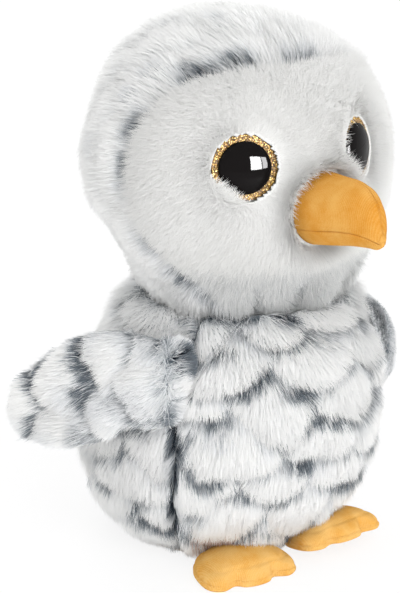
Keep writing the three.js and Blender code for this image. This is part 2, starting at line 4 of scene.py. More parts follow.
import bpy
import numpy as np
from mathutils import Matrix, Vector


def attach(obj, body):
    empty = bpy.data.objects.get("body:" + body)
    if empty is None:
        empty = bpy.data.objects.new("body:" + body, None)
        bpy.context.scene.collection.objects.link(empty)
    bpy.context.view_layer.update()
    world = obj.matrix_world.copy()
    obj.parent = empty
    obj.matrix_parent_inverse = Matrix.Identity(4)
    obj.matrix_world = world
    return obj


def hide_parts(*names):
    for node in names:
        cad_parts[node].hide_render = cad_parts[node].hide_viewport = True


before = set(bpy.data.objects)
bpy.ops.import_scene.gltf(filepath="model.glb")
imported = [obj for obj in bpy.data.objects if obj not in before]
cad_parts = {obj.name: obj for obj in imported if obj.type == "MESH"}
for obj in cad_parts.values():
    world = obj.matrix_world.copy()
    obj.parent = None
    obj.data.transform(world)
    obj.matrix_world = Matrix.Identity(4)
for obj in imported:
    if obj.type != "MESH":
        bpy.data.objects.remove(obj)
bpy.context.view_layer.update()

MM = 0.001
rng = np.random.default_rng(20)

# Sizes in millimetres and degrees, as in the CAD. The owl faces -Y, and its own left side is at +X.
BODY_CENTRE = np.array([0, 4.5, 57.0])
BODY_HALF = (67.0, 65.0)
BODY_FULL = 2.4
BODY_LEAN = 0.14
BASE_HALF, BASE_THICK = 40.0, 4.0
SIDE_SEAM = 57.5
NECK, NECK_HALF = 118.0, 44.0
HEAD_CENTRE = np.array([0, -2.0, 173.0])
HEAD_HALF = (68.0, 63.0)
HEAD_UP = 61.0
HEAD_FULL = 2.1
FACE_SIDE, FACE_TOP, FACE_BOTTOM = 76.0, 47.0, 56.0
FACE_UPPER_FULL, FACE_LOWER_FULL = 3.2, 1.7
SOCKET_DEPTH, SOCKET_DEGREES = 8.5, 22.0
EYE_SPREAD, EYE_HEIGHT = 34.0, 9.0
# The back of the left eye's glitter disc, and the way it faces
EYE_SEAT = np.array([27.84, -43.27, 180.11])
EYE_FACING = np.array([0.4515, -0.8861, 0.1045])
DISC_RADIUS, DISC_THICK = 13.5, 1.2
DOME_RADIUS, DOME_RISE, SHANK_RADIUS = 10.75, 3.2, 2.5
BEAK_BASE = np.array([0, -57.9, 162.35])
BEAK_WIDTH, BEAK_HEIGHT, BEAK_LENGTH = 28.0, 31.0, 39.0
WING_LENGTH, WING_HEIGHT, WING_THICK, WING_ROOT = 71.0, 57.0, 17.0, 14.0
FOOT_LENGTH, FOOT_WIDTH, FOOT_THICK, HEEL = 32.0, 43.0, 12.5, 2.6

# How deep the pile's roots lie under the CAD's surface
BODY_PILE, HOOD_PILE, FACE_PILE = 6.0, 5.8, 4.8
# How far over the roots the cloth starts, and how much lower than theirs its relief is
CLOTH_RISE, RELIEF_DROP = 0.1, 0.3
DOWN = np.array([0, 0, -1.0])


# Sums that the forms and the fur share
def unit(v):
    return v / np.maximum(np.linalg.norm(v, axis=-1, keepdims=True), 1e-9)


def tangent(v, normal):
    """v laid into the surface."""
    return unit(v - normal * np.sum(v * normal, -1, keepdims=True))


def smooth(x):
    """From 0 to 1 as x does, with a soft start and end."""
    x = np.clip(x, 0, 1)
    return x * x * (3 - 2 * x)


def above(x, start, span):
    """0 up to start, and 1 from a span over it."""
    return smooth((x - start) / span)


def below(x, start, span):
    """0 down to start, and 1 from a span under it."""
    return smooth((start - x) / span)


def mixed(a, b, share):
    return a * (1 - share) + b * share


def bisected(low, high, before):
    """Where before(value) turns false, between arrays low and high."""
    for _ in range(30):
        middle = (low + high) / 2
        under = before(middle)
        low, high = np.where(under, middle, low), np.where(under, high, middle)
    return (low + high) / 2


def noise_of(*values, seed=0):
    """A number from 0 to 1 that stays the same for the same whole numbers."""
    mix = seed * 7919
    for v, prime in zip(values, (374761393, 668265263, 362437)):
        mix = mix + np.asarray(v, int) * prime
    mix = (mix ^ (mix >> 13)) * 1274126177
    return ((mix ^ (mix >> 16)) & 0xFFFF) / 65535.0


def drift(points, scale, seed):
    """Smooth noise from 0 to 1 over space, in lumps of about scale millimetres."""
    p = points / scale + 1000
    cell = np.floor(p).astype(int)
    part = smooth(p - cell)
    total = 0
    for corner in itertools.product((0, 1), repeat=3):
        weight = np.prod(np.where(corner, part, 1 - part), axis=-1)
        total = total + weight * noise_of(*(cell + corner).T, seed=seed)
    return above(total, 0.2, 0.6)


# Forms of body and head
def half_height(rise, share, full):
    """The half height of an egg that narrows to a share of its width over a rise."""
    return rise / (1 - share ** full) ** (1 / full)


BODY_ENDS = (half_height(BODY_CENTRE[2], BASE_HALF / BODY_HALF[0], BODY_FULL),
             half_height(NECK - BODY_CENTRE[2], NECK_HALF / BODY_HALF[0], BODY_FULL))
HEAD_ENDS = (half_height(HEAD_CENTRE[2] - NECK, NECK_HALF / HEAD_HALF[0], HEAD_FULL), HEAD_UP)


def directions(heading, rise):
    """Unit vectors by heading, from the front towards the owl's left, and rise, in degrees."""
    h, r = np.radians(heading), np.radians(rise)
    return np.stack([np.sin(h) * np.cos(r), -np.cos(h) * np.cos(r), np.sin(r) + 0 * h], -1)


def heading_of(v):
    return np.degrees(np.arctan2(v[..., 0], -v[..., 1]))


def rise_of(way):
    return np.degrees(np.arcsin(np.clip(way[..., 2], -1, 1)))


def egg_reach(way, half, ends, full, inset):
    """How far an egg reaches in each direction. ends are its half heights, down and up."""
    high = np.where(way[..., 2] < 0, ends[0], ends[1]) - inset
    side = np.hypot(way[..., 0] / (half[0] - inset), way[..., 1] / (half[1] - inset))
    return (side ** full + np.abs(way[..., 2] / high) ** full) ** (-1 / full)


def body_point(heading, rise, inset=0.0):
    way = directions(heading, rise)
    p = way * egg_reach(way, BODY_HALF, BODY_ENDS, BODY_FULL, inset)[..., None]
    p[..., 1] -= p[..., 2] * BODY_LEAN
    return p + BODY_CENTRE


def in_body(points, inset):
    local = points - BODY_CENTRE
    local = local + np.stack([0 * local[:, 2], local[:, 2] * BODY_LEAN, 0 * local[:, 2]], 1)
    reach = np.linalg.norm(local, axis=1)
    return reach < egg_reach(local / reach[:, None], BODY_HALF, BODY_ENDS, BODY_FULL, inset)


EYE_RISE = math.degrees(math.atan2(EYE_HEIGHT, HEAD_HALF[1]))
EYE_WAYS = [directions(np.array(side * EYE_SPREAD), np.array(EYE_RISE)) for side in (-1, 1)]


def head_point(heading, rise, inset):
    way = directions(heading, rise)
    reach = egg_reach(way, HEAD_HALF, HEAD_ENDS, HEAD_FULL, inset)
    for eye in EYE_WAYS:
        away = np.degrees(np.arccos(np.clip(way @ eye, -1, 1))) / SOCKET_DEGREES
        reach = reach - SOCKET_DEPTH * np.exp(-away * away)
    return way * reach[..., None] + HEAD_CENTRE


def eye_frame(side):
    """A glitter disc's back and its axes, as columns. side is 1 for the left eye, -1 for the right."""
    mirror = [side, 1, 1]
    z = unit(EYE_FACING * mirror)
    x = unit(np.cross([0, 0, 1.0], z))
    return EYE_SEAT * mirror, np.stack([x, np.cross(z, x), z], 1)


def seen_from_eye(points, side):
    origin, axes = eye_frame(side)
    return (points - origin) @ axes


# Meshes
def grid(place, columns, rows, closed=False):
    """A grid of points place(u, v) with u and v from 0 to 1, and its quads."""
    u = np.linspace(0, 1, columns + 1)[: columns if closed else columns + 1]
    v = np.linspace(0, 1, rows + 1)
    points = place(*np.meshgrid(u, v))
    n = points.shape[1]
    i, j = np.meshgrid(np.arange(columns), np.arange(rows))
    a = j * n + i
    b = j * n + (i + 1) % n
    quads = np.stack([a, b, b + n, a + n], -1).reshape(-1, 4)
    return points.reshape(-1, points.shape[-1]), quads


def quad_normals(points, quads):
    a, b, c, d = (points[quads[:, k]] for k in range(4))
    return np.cross(c - a, d - b)


def vertex_normals(points, quads):
    face = quad_normals(points, quads)
    total = np.zeros_like(points)
    for k in range(4):
        np.add.at(total, quads[:, k], face)
    return unit(total)


def facing_out(points, quads, centre):
    out = np.sum(quad_normals(points, quads) * (points[quads].mean(1) - centre))
    return quads if out > 0 else quads[:, ::-1]


def link(name, mesh):
    obj = bpy.data.objects.new(name, mesh)
    bpy.context.scene.collection.objects.link(obj)
    return obj


def new_mesh(name, points, faces, shade_smooth=True):
    mesh = bpy.data.meshes.new(name)
    mesh.from_pydata((points * MM).tolist(), [], faces if isinstance(faces, list) else faces.tolist())
    mesh.polygons.foreach_set("use_smooth", np.full(len(mesh.polygons), shade_smooth))
    mesh.validate()
    mesh.update()
    return link(name, mesh)


def thicken(obj, depth):
    """Gives a sheet a depth behind its face."""
    modifier = obj.modifiers.new("thick", "SOLIDIFY")
    modifier.thickness = depth * MM
    modifier.offset = -1
    graph = bpy.context.evaluated_depsgraph_get()
    mesh = bpy.data.meshes.new_from_object(obj.evaluated_get(graph))
    obj.modifiers.clear()
    obj.data = mesh


def dress(obj, mat):
    obj.data.materials.clear()
    obj.data.materials.append(mat)


def finish_piece(obj, body, mat):
    dress(obj, mat)
    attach(obj, body)


def cloth_piece(name, points, quads, depth, body, node, mat):
    """A padded panel in place of a CAD node. With a depth of 0 it stays as thin as it is."""
    obj = new_mesh(name, points, quads)
    if depth:
        thicken(obj, depth)
    finish_piece(obj, body, mat)
    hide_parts(node)


# Materials
def srgb(*values):
    """A colour from its values on a screen, 0 to 255."""
    return *(v / 255 / 12.92 if v <= 10 else ((v / 255 + 0.055) / 1.055) ** 2.4 for v in values), 1


def material(name):
    mat = bpy.data.materials.new(name)
    mat.use_nodes = True
    return mat, mat.node_tree, mat.node_tree.nodes["Principled BSDF"]


def join(tree, node, inputs):
    """Links each input that is given a socket, and sets the others."""
    for key, value in inputs.items():
        if isinstance(value, bpy.types.NodeSocket):
            tree.links.new(value, node.inputs[key])
        else:
            node.inputs[key].default_value = value


def add_node(tree, kind, inputs=None, **settings):
    """A new node's outputs."""
    node = tree.nodes.new("ShaderNode" + kind)
    for key, value in settings.items():
        setattr(node, key, value)
    join(tree, node, inputs or {})
    return node.outputs


def ramp(tree, value, stops):
    """The colour that stops of (position, colour) give to a value."""
    node = tree.nodes.new("ShaderNodeValToRGB")
    elements = node.color_ramp.elements
    while len(elements) > 1:
        elements.remove(elements[-1])
    elements[0].position, elements[0].color = stops[0]
    for position, colour in stops[1:]:
        elements.new(position).color = colour
    tree.links.new(value, node.inputs[0])
    return node.outputs[0]


def surface(tree, share, first, second):
    """Shows a share of the second shader over the first."""
    both = add_node(tree, "MixShader", {0: share, 1: first, 2: second})
    join(tree, tree.nodes["Material Output"], {"Surface": both[0]})


# How much of the light that falls on a strand goes through it
THROUGH_SHARE = 0.3


def fur_material(name, roots, tips, start, end):
    """Colours by tone, from roots to tips. A strand's UV holds its tone and the way along it."""
    mat, tree, shader = material(name)
    place = add_node(tree, "UVMap", uv_map="OFBake")
    tone, along = add_node(tree, "SeparateXYZ", {0: place[0]})[:2]
    towards_tip = add_node(tree, "MapRange", {"From Min": start, "From Max": end, "Value": along},
                           interpolation_type="SMOOTHSTEP")
    ends = {0: towards_tip[0], 6: ramp(tree, tone, roots), 7: ramp(tree, tone, tips)}
    colour = add_node(tree, "Mix", ends, data_type="RGBA")[2]
    join(tree, shader, {"Base Color": colour, "Roughness": 0.9, "Specular IOR Level": 0.0})
    through = add_node(tree, "BsdfTranslucent", {"Color": colour})
    surface(tree, THROUGH_SHARE, shader.outputs[0], through[0])
    return mat


def plain_cloth(name, colour, scale=900):
    mat, tree, shader = material(name)
    place = add_node(tree, "TexCoord")["Object"]
    noise = add_node(tree, "TexNoise", {"Scale": scale, "Vector": place})["Fac"]
    dark = tuple(c * 0.8 for c in colour[:3]) + (1,)
    join(tree, shader, {
        "Base Color": ramp(tree, noise, [(0.3, dark), (0.7, colour)]),
        "Normal": add_node(tree, "Bump", {"Distance": 0.0003, "Height": noise})[0],
        "Roughness": 0.9, "Specular IOR Level": 0.1,
    })
    return mat


def velboa(name, colour, pale, direction):
    """Short-pile cloth in soft patches of two shades, with a fine rib across direction."""
    mat, tree, shader = material(name)
    place = add_node(tree, "TexCoord")["Object"]
    patches = add_node(tree, "TexNoise", {"Scale": 120, "Detail": 5, "Vector": place})["Fac"]
    ribs = add_node(
        tree, "TexWave", {"Scale": 430, "Distortion": 1.5, "Detail": 2, "Detail Scale": 3, "Vector": place},
        bands_direction=direction)["Fac"]
    grain = add_node(tree, "TexNoise", {"Scale": 2200, "Vector": place})["Fac"]
    relief = add_node(tree, "Math", {0: ribs, 1: 0.35, 2: grain}, operation="MULTIPLY_ADD")[0]
    tone = add_node(tree, "Math", {0: relief, 1: 0.5, 2: patches}, operation="MULTIPLY_ADD")[0]
    join(tree, shader, {
        "Base Color": ramp(tree, tone, [(0.55, colour), (1.05, pale)]),
        "Normal": add_node(tree, "Bump", {"Distance": 0.0004, "Strength": 0.7, "Height": relief})[0],
        "Roughness": 0.85, "Specular IOR Level": 0.0,
    })
    return mat


def dome_black():
    mat, tree, shader = material("eye_black")
    join(tree, shader, {
        "Base Color": (0.006, 0.005, 0.005, 1), "Roughness": 0.03, "Specular IOR Level": 0.06,
    })
    return mat


def glitter_gold():
    """Each flake has a shade of its own."""
    mat, tree, shader = material("gold_glitter")
    place = add_node(tree, "TexCoord")["Object"]
    flakes = add_node(tree, "TexVoronoi", {"Scale": 2900, "Vector": place})["Color"]
    pick = add_node(tree, "SeparateColor", {0: flakes})[0]
    golds = [(0.0, srgb(36, 24, 8)), (0.35, srgb(74, 51, 17)), (0.65, srgb(120, 85, 29)),
             (0.86, srgb(162, 120, 44)), (0.96, srgb(248, 216, 130))]
    join(tree, shader, {
        "Base Color": ramp(tree, pick, golds), "Metallic": 0.15, "Roughness": 0.5, "Specular IOR Level": 0.2,
    })
    return mat


WHITE = srgb(250, 250, 249)
# Tones run from white at 0 to the darkest, and past it comes the brown of a stained strand
DARKEST, STAINED = 0.93, 0.98
PATTERN_ROOTS = [
    (0.0, srgb(246, 247, 247)), (0.25, srgb(212, 216, 219)), (0.5, srgb(112, 121, 129)),
    (0.75, srgb(56, 65, 74)), (DARKEST, srgb(38, 45, 54)), (0.97, srgb(118, 84, 66)),
]
PATTERN_TIPS = [(0.0, WHITE), (0.45, srgb(244, 245, 246)), (DARKEST, srgb(118, 127, 135)),
                (0.97, srgb(205, 172, 156))]
# On the face, tones past 0.6 are painted shade: grey on the lower face, darkest between the tufts over the
# neck.
FACE_ROOTS = [(0.0, srgb(246, 246, 244)), (0.6, srgb(238, 238, 237)), (1.0, srgb(84, 92, 100))]
FACE_TIPS = [(0.0, WHITE), (0.6, srgb(246, 246, 244)), (1.0, srgb(150, 157, 163))]

body_fur = fur_material("body_fur", PATTERN_ROOTS, PATTERN_TIPS, 0.2, 0.8)
face_fur = fur_material("face_fur", FACE_ROOTS, FACE_TIPS, 0.25, 0.75)
backing_grey = plain_cloth("backing_grey", srgb(150, 156, 162))
backing_white = plain_cloth("backing_white", srgb(240, 240, 238))
base_cloth = plain_cloth("base_cloth", srgb(214, 206, 198), 1400)
fibre = plain_cloth("fibre", srgb(244, 244, 240), 300)
pouch_cloth = plain_cloth("pouch_cloth", srgb(228, 220, 204), 1200)
washer_plastic = plain_cloth("washer_plastic", srgb(238, 238, 234), 200)
beak_cloth = velboa("beak_velboa", srgb(203, 135, 45), srgb(217, 164, 87), "Y")
foot_cloth = velboa("foot_velboa", srgb(216, 154, 65), srgb(228, 183, 111), "X")
eye_black = dome_black()
gold_glitter = glitter_gold()

# Fur
TONES = 64
FLOOR_GAP = 0.3
# A strand's three faces, and where its five corners lie over its column of the UV and along it
STRAND_FACES = np.array([[0, 1, 3], [0, 3, 2], [2, 3, 4]])
STRAND_ACROSS = np.array([0.2, 0.8, 0.2, 0.8, 0.5])
STRAND_ALONG = np.array([0.02, 0.02, 0.5, 0.5, 0.98])


def sample(points, quads, count, *others):
    """Random points spread evenly over quads, with smooth normals. others are read at the same places."""
    normals = vertex_normals(points, quads)
    tris = np.concatenate([quads[:, [0, 1, 2]], quads[:, [0, 2, 3]]])
    a, b, c = (points[tris[:, k]] for k in range(3))
    area = np.linalg.norm(np.cross(b - a, c - a), axis=1)
    pick = rng.choice(len(tris), count, p=area / area.sum())
    r1, r2 = np.sqrt(rng.random(count)), rng.random(count)
    weights = np.stack([1 - r1, r1 * (1 - r2), r1 * r2], 1)

    def there(values):
        return sum(weights[:, k, None] * values[tris[pick, k]] for k in range(3))

    return there(points), unit(there(normals)), *(there(other) for other in others)


def grow(name, root, normal, comb, length, low, high, tone,
         width=0.26, clump=2.4, pull=0.4, stray=0.2, ruffle=0.3):
    """Tapered ribbons, one to a strand. comb is the way they lie, low and high the lift in degrees at root
    and tip. Their tips draw together in clumps. They shade as the pile does, with a ruffle of their own."""
    n = len(root)
    comb = tangent(comb + rng.normal(0, stray, (n, 3)), normal)
    length = length * rng.normal(1, 0.12, n).clip(0.6, 1.35)
    line = [root]
    for part in (0.2, 0.8):
        angle = np.radians(low + (high - low) * part + rng.normal(0, 5, n))
        step = comb * np.cos(angle)[:, None] + normal * np.sin(angle)[:, None]
        line.append(line[-1] + step * (length / 2)[:, None])
    cell = np.floor((root + rng.normal(0, 0.25 * clump, (n, 3))) / clump).astype(int)
    _, group = np.unique(cell, axis=0, return_inverse=True)
    group = group.ravel()
    members = np.bincount(group)
    for k, share in ((1, pull * 0.3), (2, pull)):
        middle = np.stack([np.bincount(group, line[k][:, i]) / members for i in range(3)], 1)[group]
        line[k] = line[k] + (middle - line[k]) * share
    side = unit(np.cross(comb, normal))
    turn = rng.normal(0, 0.25, n)[:, None]
    side = (side * np.cos(turn) + normal * np.sin(turn)) * width * rng.uniform(0.35, 0.6, n)[:, None]
    points = np.stack([root - side, root + side, line[1] - side, line[1] + side, line[2]], 1).reshape(-1, 3)
    points[:, 2] = np.maximum(points[:, 2], FLOOR_GAP)
    tris = (STRAND_FACES[None] + 5 * np.arange(n)[:, None, None]).reshape(-1, 3)
    obj = new_mesh(name, points, tris)
    column = np.minimum((np.clip(tone, 0, 0.999) * TONES).astype(int), TONES - 1)
    u = (column[:, None] + STRAND_ACROSS[None]) / TONES
    v = np.broadcast_to(STRAND_ALONG, (n, 5))
    corner = np.stack([u.ravel(), v.ravel()], 1)[tris.ravel()]
    layer = obj.data.uv_layers.new(name="OFBake")
    layer.data.foreach_set("uv", corner.astype(np.float32).ravel())
    shading = unit(normal + rng.normal(0, ruffle / 2, (n, 3)))
    obj.data.normals_split_custom_set_from_vertices(np.repeat(shading, 5, axis=0).astype(np.float32))
    return obj


def tiles(down, across, rows, width, phases, seed, first=16.0):
    """Overlapping tufts like fish scales. down falls along the comb, across runs round it. rows are (edge
    between tufts, edge at a tuft's tip) for the bottom of each row, and first is the top row's depth.
    Returns the row, the column, how far along the tuft from 0 to 1, and how far across from -1 to 1."""
    n = len(down)
    row, column = np.zeros(n, int), np.zeros(n, int)
    top, bottom = np.full(n, -1e3), np.full(n, 1e3)
    done = np.zeros(n, bool)
    previous = np.full(n, rows[0][0] - first)
    u = np.zeros(n)
    for k, (junction, tip) in enumerate(rows):
        cell = np.floor((across - phases[k]) / width + 0.5).astype(int)
        shift = (noise_of(cell, k, seed=seed) - 0.5) * 0.5
        x = ((across - phases[k]) / width - cell) * 2
        x = x - shift * (1 - np.abs(x))
        drop = (noise_of(cell, k, seed=seed + 5) - 0.5) * 6.0
        edge = junction + (tip - junction) * (1 - np.abs(x) ** 2.4) + drop * (1 - x ** 4)
        here = (~done) & (down < edge)
        row[here], column[here], u[here] = k, cell[here], x[here]
        top[here], bottom[here] = previous[here], edge[here]
        done |= here
        previous = edge
    left = ~done
    row[left], top[left], bottom[left] = len(rows), previous[left], previous[left] + 16
    return row, column, np.clip((down - top) / np.maximum(bottom - top, 9), 0, 1), u


# How far down a tuft its crown is
CROWN_SHARE = 0.6


def pillows(normal, comb, t, u, rise, long, wide):
    """Height over the cloth of tufts rise high, and their normals. long and wide are a tuft's own size."""
    comb = tangent(comb, normal)
    up = np.clip(t / CROWN_SHARE, 0, 1) * math.pi / 2
    down = above(t, CROWN_SHARE, 1 - CROWN_SHARE)
    along = np.sin(up) * (1 - 0.3 * down)
    along_slope = np.where(t < CROWN_SHARE, np.cos(up) * math.pi / 2 / CROWN_SHARE, -0.9 * down)
    across = 1 - np.abs(u) ** 2.6
    across_slope = -2.6 * np.sign(u) * np.abs(u) ** 1.6 * 2
    slope = comb * (along_slope * across * rise / long)[:, None]
    slope = slope + np.cross(normal, comb) * (along * across_slope * rise / wide)[:, None]
    return rise * along * across, unit(normal - slope)


def fanned(u):
    """How far a tuft's strands fan out, from its middle to its sides."""
    return np.sign(u) * np.abs(u) ** 1.4


# Body
BODY_ROWS = [(-110, -104), (-97, -88), (-82, -72), (-65, -53), (-48, -37), (-33, -22), (-17, -9)]
BODY_PHASES = [-24, -37, -18, -36, -17, -36, -18, -36]
# The front's hem is stained at the seam over a foot: heading, half width, height
HEM_STAINS = [(-36, 13, 21.0), (24, 10, 5.0)]
BODY_SEAM_GAP = 0.15
# Dark marks under the chin: heading, half width, height
CHIN_MARKS = [(-40, 15, 113.0), (-14, 6, 112.0), (-62, 6, 112.0)]
# Each panel's first and last heading, its strands and its seed
BODY_PANELS = {
    "body_front": (-SIDE_SEAM, SIDE_SEAM, 62000, 3),
    "body_back_left": (SIDE_SEAM, 180, 50000, 11),
    "body_back_right": (180, 360 - SIDE_SEAM, 50000, 12),
}


def rise_at(heading, height):
    """The rise, in degrees, at which the body's surface is at a height."""
    low, high = np.full(heading.shape, -90.0), np.full(heading.shape, 90.0)
    return bisected(low, high, lambda rise: body_point(heading, rise)[..., 2] < height)


def body_grid(start, end, inset, lowest, columns, rows):
    def place(u, v):
        heading = start + (end - start) * u
        low, high = rise_at(heading, lowest), rise_at(heading, NECK)
        return body_point(heading, low + (high - low) * v, inset)
    return grid(place, columns, rows)


def body_tufts(root, normal, seed):
    """Where each place of the pile lies in its tuft, and the tufts' relief."""
    local, height = root - BODY_CENTRE, root[:, 2]
    heading = np.degrees(np.arctan2(local[:, 0], -(local[:, 1] + local[:, 2] * BODY_LEAN)))
    turned = heading + np.where(np.abs(heading) > SIDE_SEAM, 11.0 * np.sign(heading), 0)
    lower, across = (drift(root, 16, seed + k) - 0.5 for k in (1, 2))
    down = -height + 7 * lower * below(height, 120, 10)
    row, column, t, u = tiles(down, turned + 9 * across, BODY_ROWS, 36.0, BODY_PHASES, seed, first=6.0)
    seam = np.minimum(np.abs(np.abs(heading) - SIDE_SEAM), 180 - np.abs(heading)) * 1.15
    rise = 3.0 * (0.7 + 0.6 * noise_of(row, column, seed=seed + 8)) * smooth(seam / 6) * above(height, 2, 8)
    rise = rise * below(height, 119, 5)
    relief, normal = pillows(normal, DOWN + 0 * root, t, u, rise, 16.0, 38.0)
    relief = relief + 3.4 * above(height, 100, 10) * (1 - 0.9 * above(height, 110, 7))
    return heading, seam, row, column, t, u, relief, normal


def body_tone(root, heading, height, seam, t, u, patch, streak, seed):
    """Dark where the roots show: at the top of a tuft, between tufts, along the seams and under the chin."""
    count = len(root)
    jagged = t + 0.25 * (streak - 0.5)
    tone = below(jagged, 0.25, 0.12) * (0.3 + patch)
    corner = above(np.abs(u), 0.78, 0.22) * below(jagged, 0.95, 0.3)
    tone = np.maximum(tone, corner * (0.1 + 0.95 * drift(root, 10, seed + 5)))
    faint = 1 - 0.6 * above(height, 90, 12)
    tone = np.maximum(tone, smooth(1 - seam / 5.0) * faint * (0.3 + 0.75 * drift(root, 8, seed + 6)))
    tone = tone * (0.75 + 0.45 * streak) + rng.normal(0, 0.03, count)
    tone = tone * above(height, 3, 10) * (1 - 0.8 * above(height, 112, 4)) * 0.98 + 0.02
    tone = tone * (1 - 0.65 * above(np.abs(heading), SIDE_SEAM, 5) * above(height, 98, 8))
    for middle, wide, level in CHIN_MARKS:
        mark = np.exp(-((heading - middle) / wide) ** 4 - ((height - level) / 2.4) ** 4)
        tone = np.maximum(tone, 0.9 * mark * (0.4 + 0.8 * streak))
    tone = np.clip(tone, 0, DARKEST)
    for middle, wide, top in HEM_STAINS:
        stained = smooth(1.4 - np.abs(heading - middle) / wide) * below(height, top + 3, 4)
        tone = np.where(rng.random(count) < stained * 0.75, STAINED, tone)
    return tone


def body_fur_on(name, start, end, count, seed):
    root, cloth_normal = sample(*body_grid(start, end, BODY_PILE, 1.5, 64, 48), count)
    heading, seam, row, column, t, u, relief, normal = body_tufts(root, cloth_normal, seed)
    height = root[:, 2]
    patch, streak = drift(root, 8, seed + 3), drift(root * [1, 1, 0.25], 1.1, seed + 4)
    root = root + cloth_normal * relief[:, None]
    tone = body_tone(root, heading, height, seam, t, u, patch, streak, seed)
    at_seam, collar, skirt = smooth(1 - seam / 5.0), above(height, 111, 5), below(height, 9, 8)
    lift = mixed(mixed(12 + 40 * t ** 2.2 + 14 * at_seam, 26, collar), 38, skirt)
    length = (11.0 - 3.6 * t ** 2) * (1 - 0.25 * at_seam) * (1 - 0.3 * collar) * (1 - 0.35 * skirt)
    swing = 0.45 * fanned(u) + 0.5 * (noise_of(row, column, seed=seed + 7) - 0.5)
    swing = swing + np.where(np.abs(heading) > SIDE_SEAM, 1, -1) * np.sign(heading) * 0.5 * at_seam
    comb = DOWN + unit(np.cross(-DOWN, normal)) * swing[:, None]
    stray = 0.18 + 0.3 * collar[:, None]
    return grow(name, root, normal, comb, length, lift + 8, lift - 8, tone, stray=stray)


for panel, (start, end, count, seed) in BODY_PANELS.items():
    points, quads = body_grid(
        start + BODY_SEAM_GAP, end - BODY_SEAM_GAP, BODY_PILE - CLOTH_RISE, BASE_THICK, 120, 100)
    outward = vertex_normals(points, quads)
    relief = body_tufts(points, outward, seed)[6]
    points = points + outward * (relief - RELIEF_DROP)[:, None]
    cloth_piece(f"{panel}_backing", points, quads, 2.0, "body", f"{panel}_panel",
                backing_grey)
    finish_piece(body_fur_on(f"{panel}_fur", start, end, count, seed), "body", body_fur)


# Head
NECK_EDGE = NECK + 0.2
FACE_SEAM_GAP = 0.25
LOBE_DEGREES = 24


def neck_fringe(root, height, normal):
    """Tufts of pile hang over the neck all round. Returns how far each place reaches into one and how low
    it lies, both from 0 to 1, and the normals turned to the tufts' sides."""
    azimuth = heading_of(root) + 6 * drift(root, 12, 77)
    cell = np.floor(azimuth / LOBE_DEGREES)
    x = (azimuth / LOBE_DEGREES - cell) * 2 - 1
    lobe = (1 - np.abs(x) ** 2.2) * (0.55 + 0.45 * noise_of(cell.astype(int), seed=78))
    turn = np.radians(azimuth)
    sides = np.stack([np.cos(turn), np.sin(turn), 0 * turn], 1) * (x * np.abs(x))[:, None]
    return lobe, below(height, 131, 8), unit(normal + sides * (0.8 * below(height, 136, 10))[:, None])


def face_share(way):
    """Under 1 on the face panel, 1 at its seam."""
    heading, rise = heading_of(way), rise_of(way)
    reach = np.where(rise > 0, FACE_TOP, FACE_BOTTOM)
    full = np.where(rise > 0, FACE_UPPER_FULL, FACE_LOWER_FULL)
    return (np.abs(heading / FACE_SIDE) ** full + np.abs(rise / reach) ** full) ** (1 / full)


def head_way(phi, psi):
    """A direction, by phi from the front of the head and psi round the front, both in degrees."""
    p, s = np.radians(phi), np.radians(psi)
    return np.stack([np.sin(p) * np.cos(s), -np.cos(p), np.sin(p) * np.sin(s)], -1)


def seam_phi(psi):
    """How far from the front the face's seam lies, in each direction."""
    low, high = np.full(psi.shape, 5.0), np.full(psi.shape, 120.0)
    return bisected(low, high, lambda phi: face_share(head_way(phi, psi)) < 1)


def head_grid(part, inset, columns, rows):
    """part is face, left or right. The hood's halves run from the face's seam to the back of the head."""
    def place(u, v):
        if part == "face":
            psi = 360 * u
            start, end = 0.5, seam_phi(psi) - FACE_SEAM_GAP
        else:
            psi = -89.8 + 179.6 * u
            start, end = seam_phi(psi) + FACE_SEAM_GAP, 179.8
        way = head_way(start + (end - start) * v, psi)
        p = head_point(heading_of(way), rise_of(way), inset)
        if part == "right":
            p[..., 0] *= -1
        p[..., 2] = np.maximum(p[..., 2], NECK_EDGE)
        return p
    points, quads = grid(place, columns, rows, closed=part == "face")
    on_neck = points[quads][:, :, 2].max(1) < NECK_EDGE + 0.01
    return points, facing_out(points, quads[~on_neck], HEAD_CENTRE)


def outside_eyes(points, radius):
    keep = np.ones(len(points), bool)
    for side in (-1, 1):
        near = seen_from_eye(points, side)
        keep &= ~((np.hypot(near[:, 0], near[:, 1]) < radius) & (near[:, 2] > -6))
    return keep


def outside_beak(points, margin):
    local = points - BEAK_BASE
    wide, high = BEAK_WIDTH / 2 + margin, BEAK_HEIGHT / 2 + 0.5 + margin
    inside = (local[:, 0] / wide) ** 2 + (local[:, 2] / high) ** 2 < 1
    return ~(inside & (local[:, 1] < 12))


# The way from each eye's middle to the pile that falls over its edge, in degrees round the eye
FRINGE_ANGLE = {-1: 232.0, 1: 220.0}


def fringe_of(near, gap, side):
    """Where the pile falls over an eye's edge from below, from 0 to 1."""
    angle = np.degrees(np.arctan2(near[:, 1], near[:, 0]))
    away = np.abs((angle - FRINGE_ANGLE[side] + 180) % 360 - 180)
    return smooth(1.3 - away / 38) * smooth(1 - gap / 5)


# Where the face's pile is combed away from, seen from the head's centre
COMB_CENTRE = np.array([0, -60, -8.0])


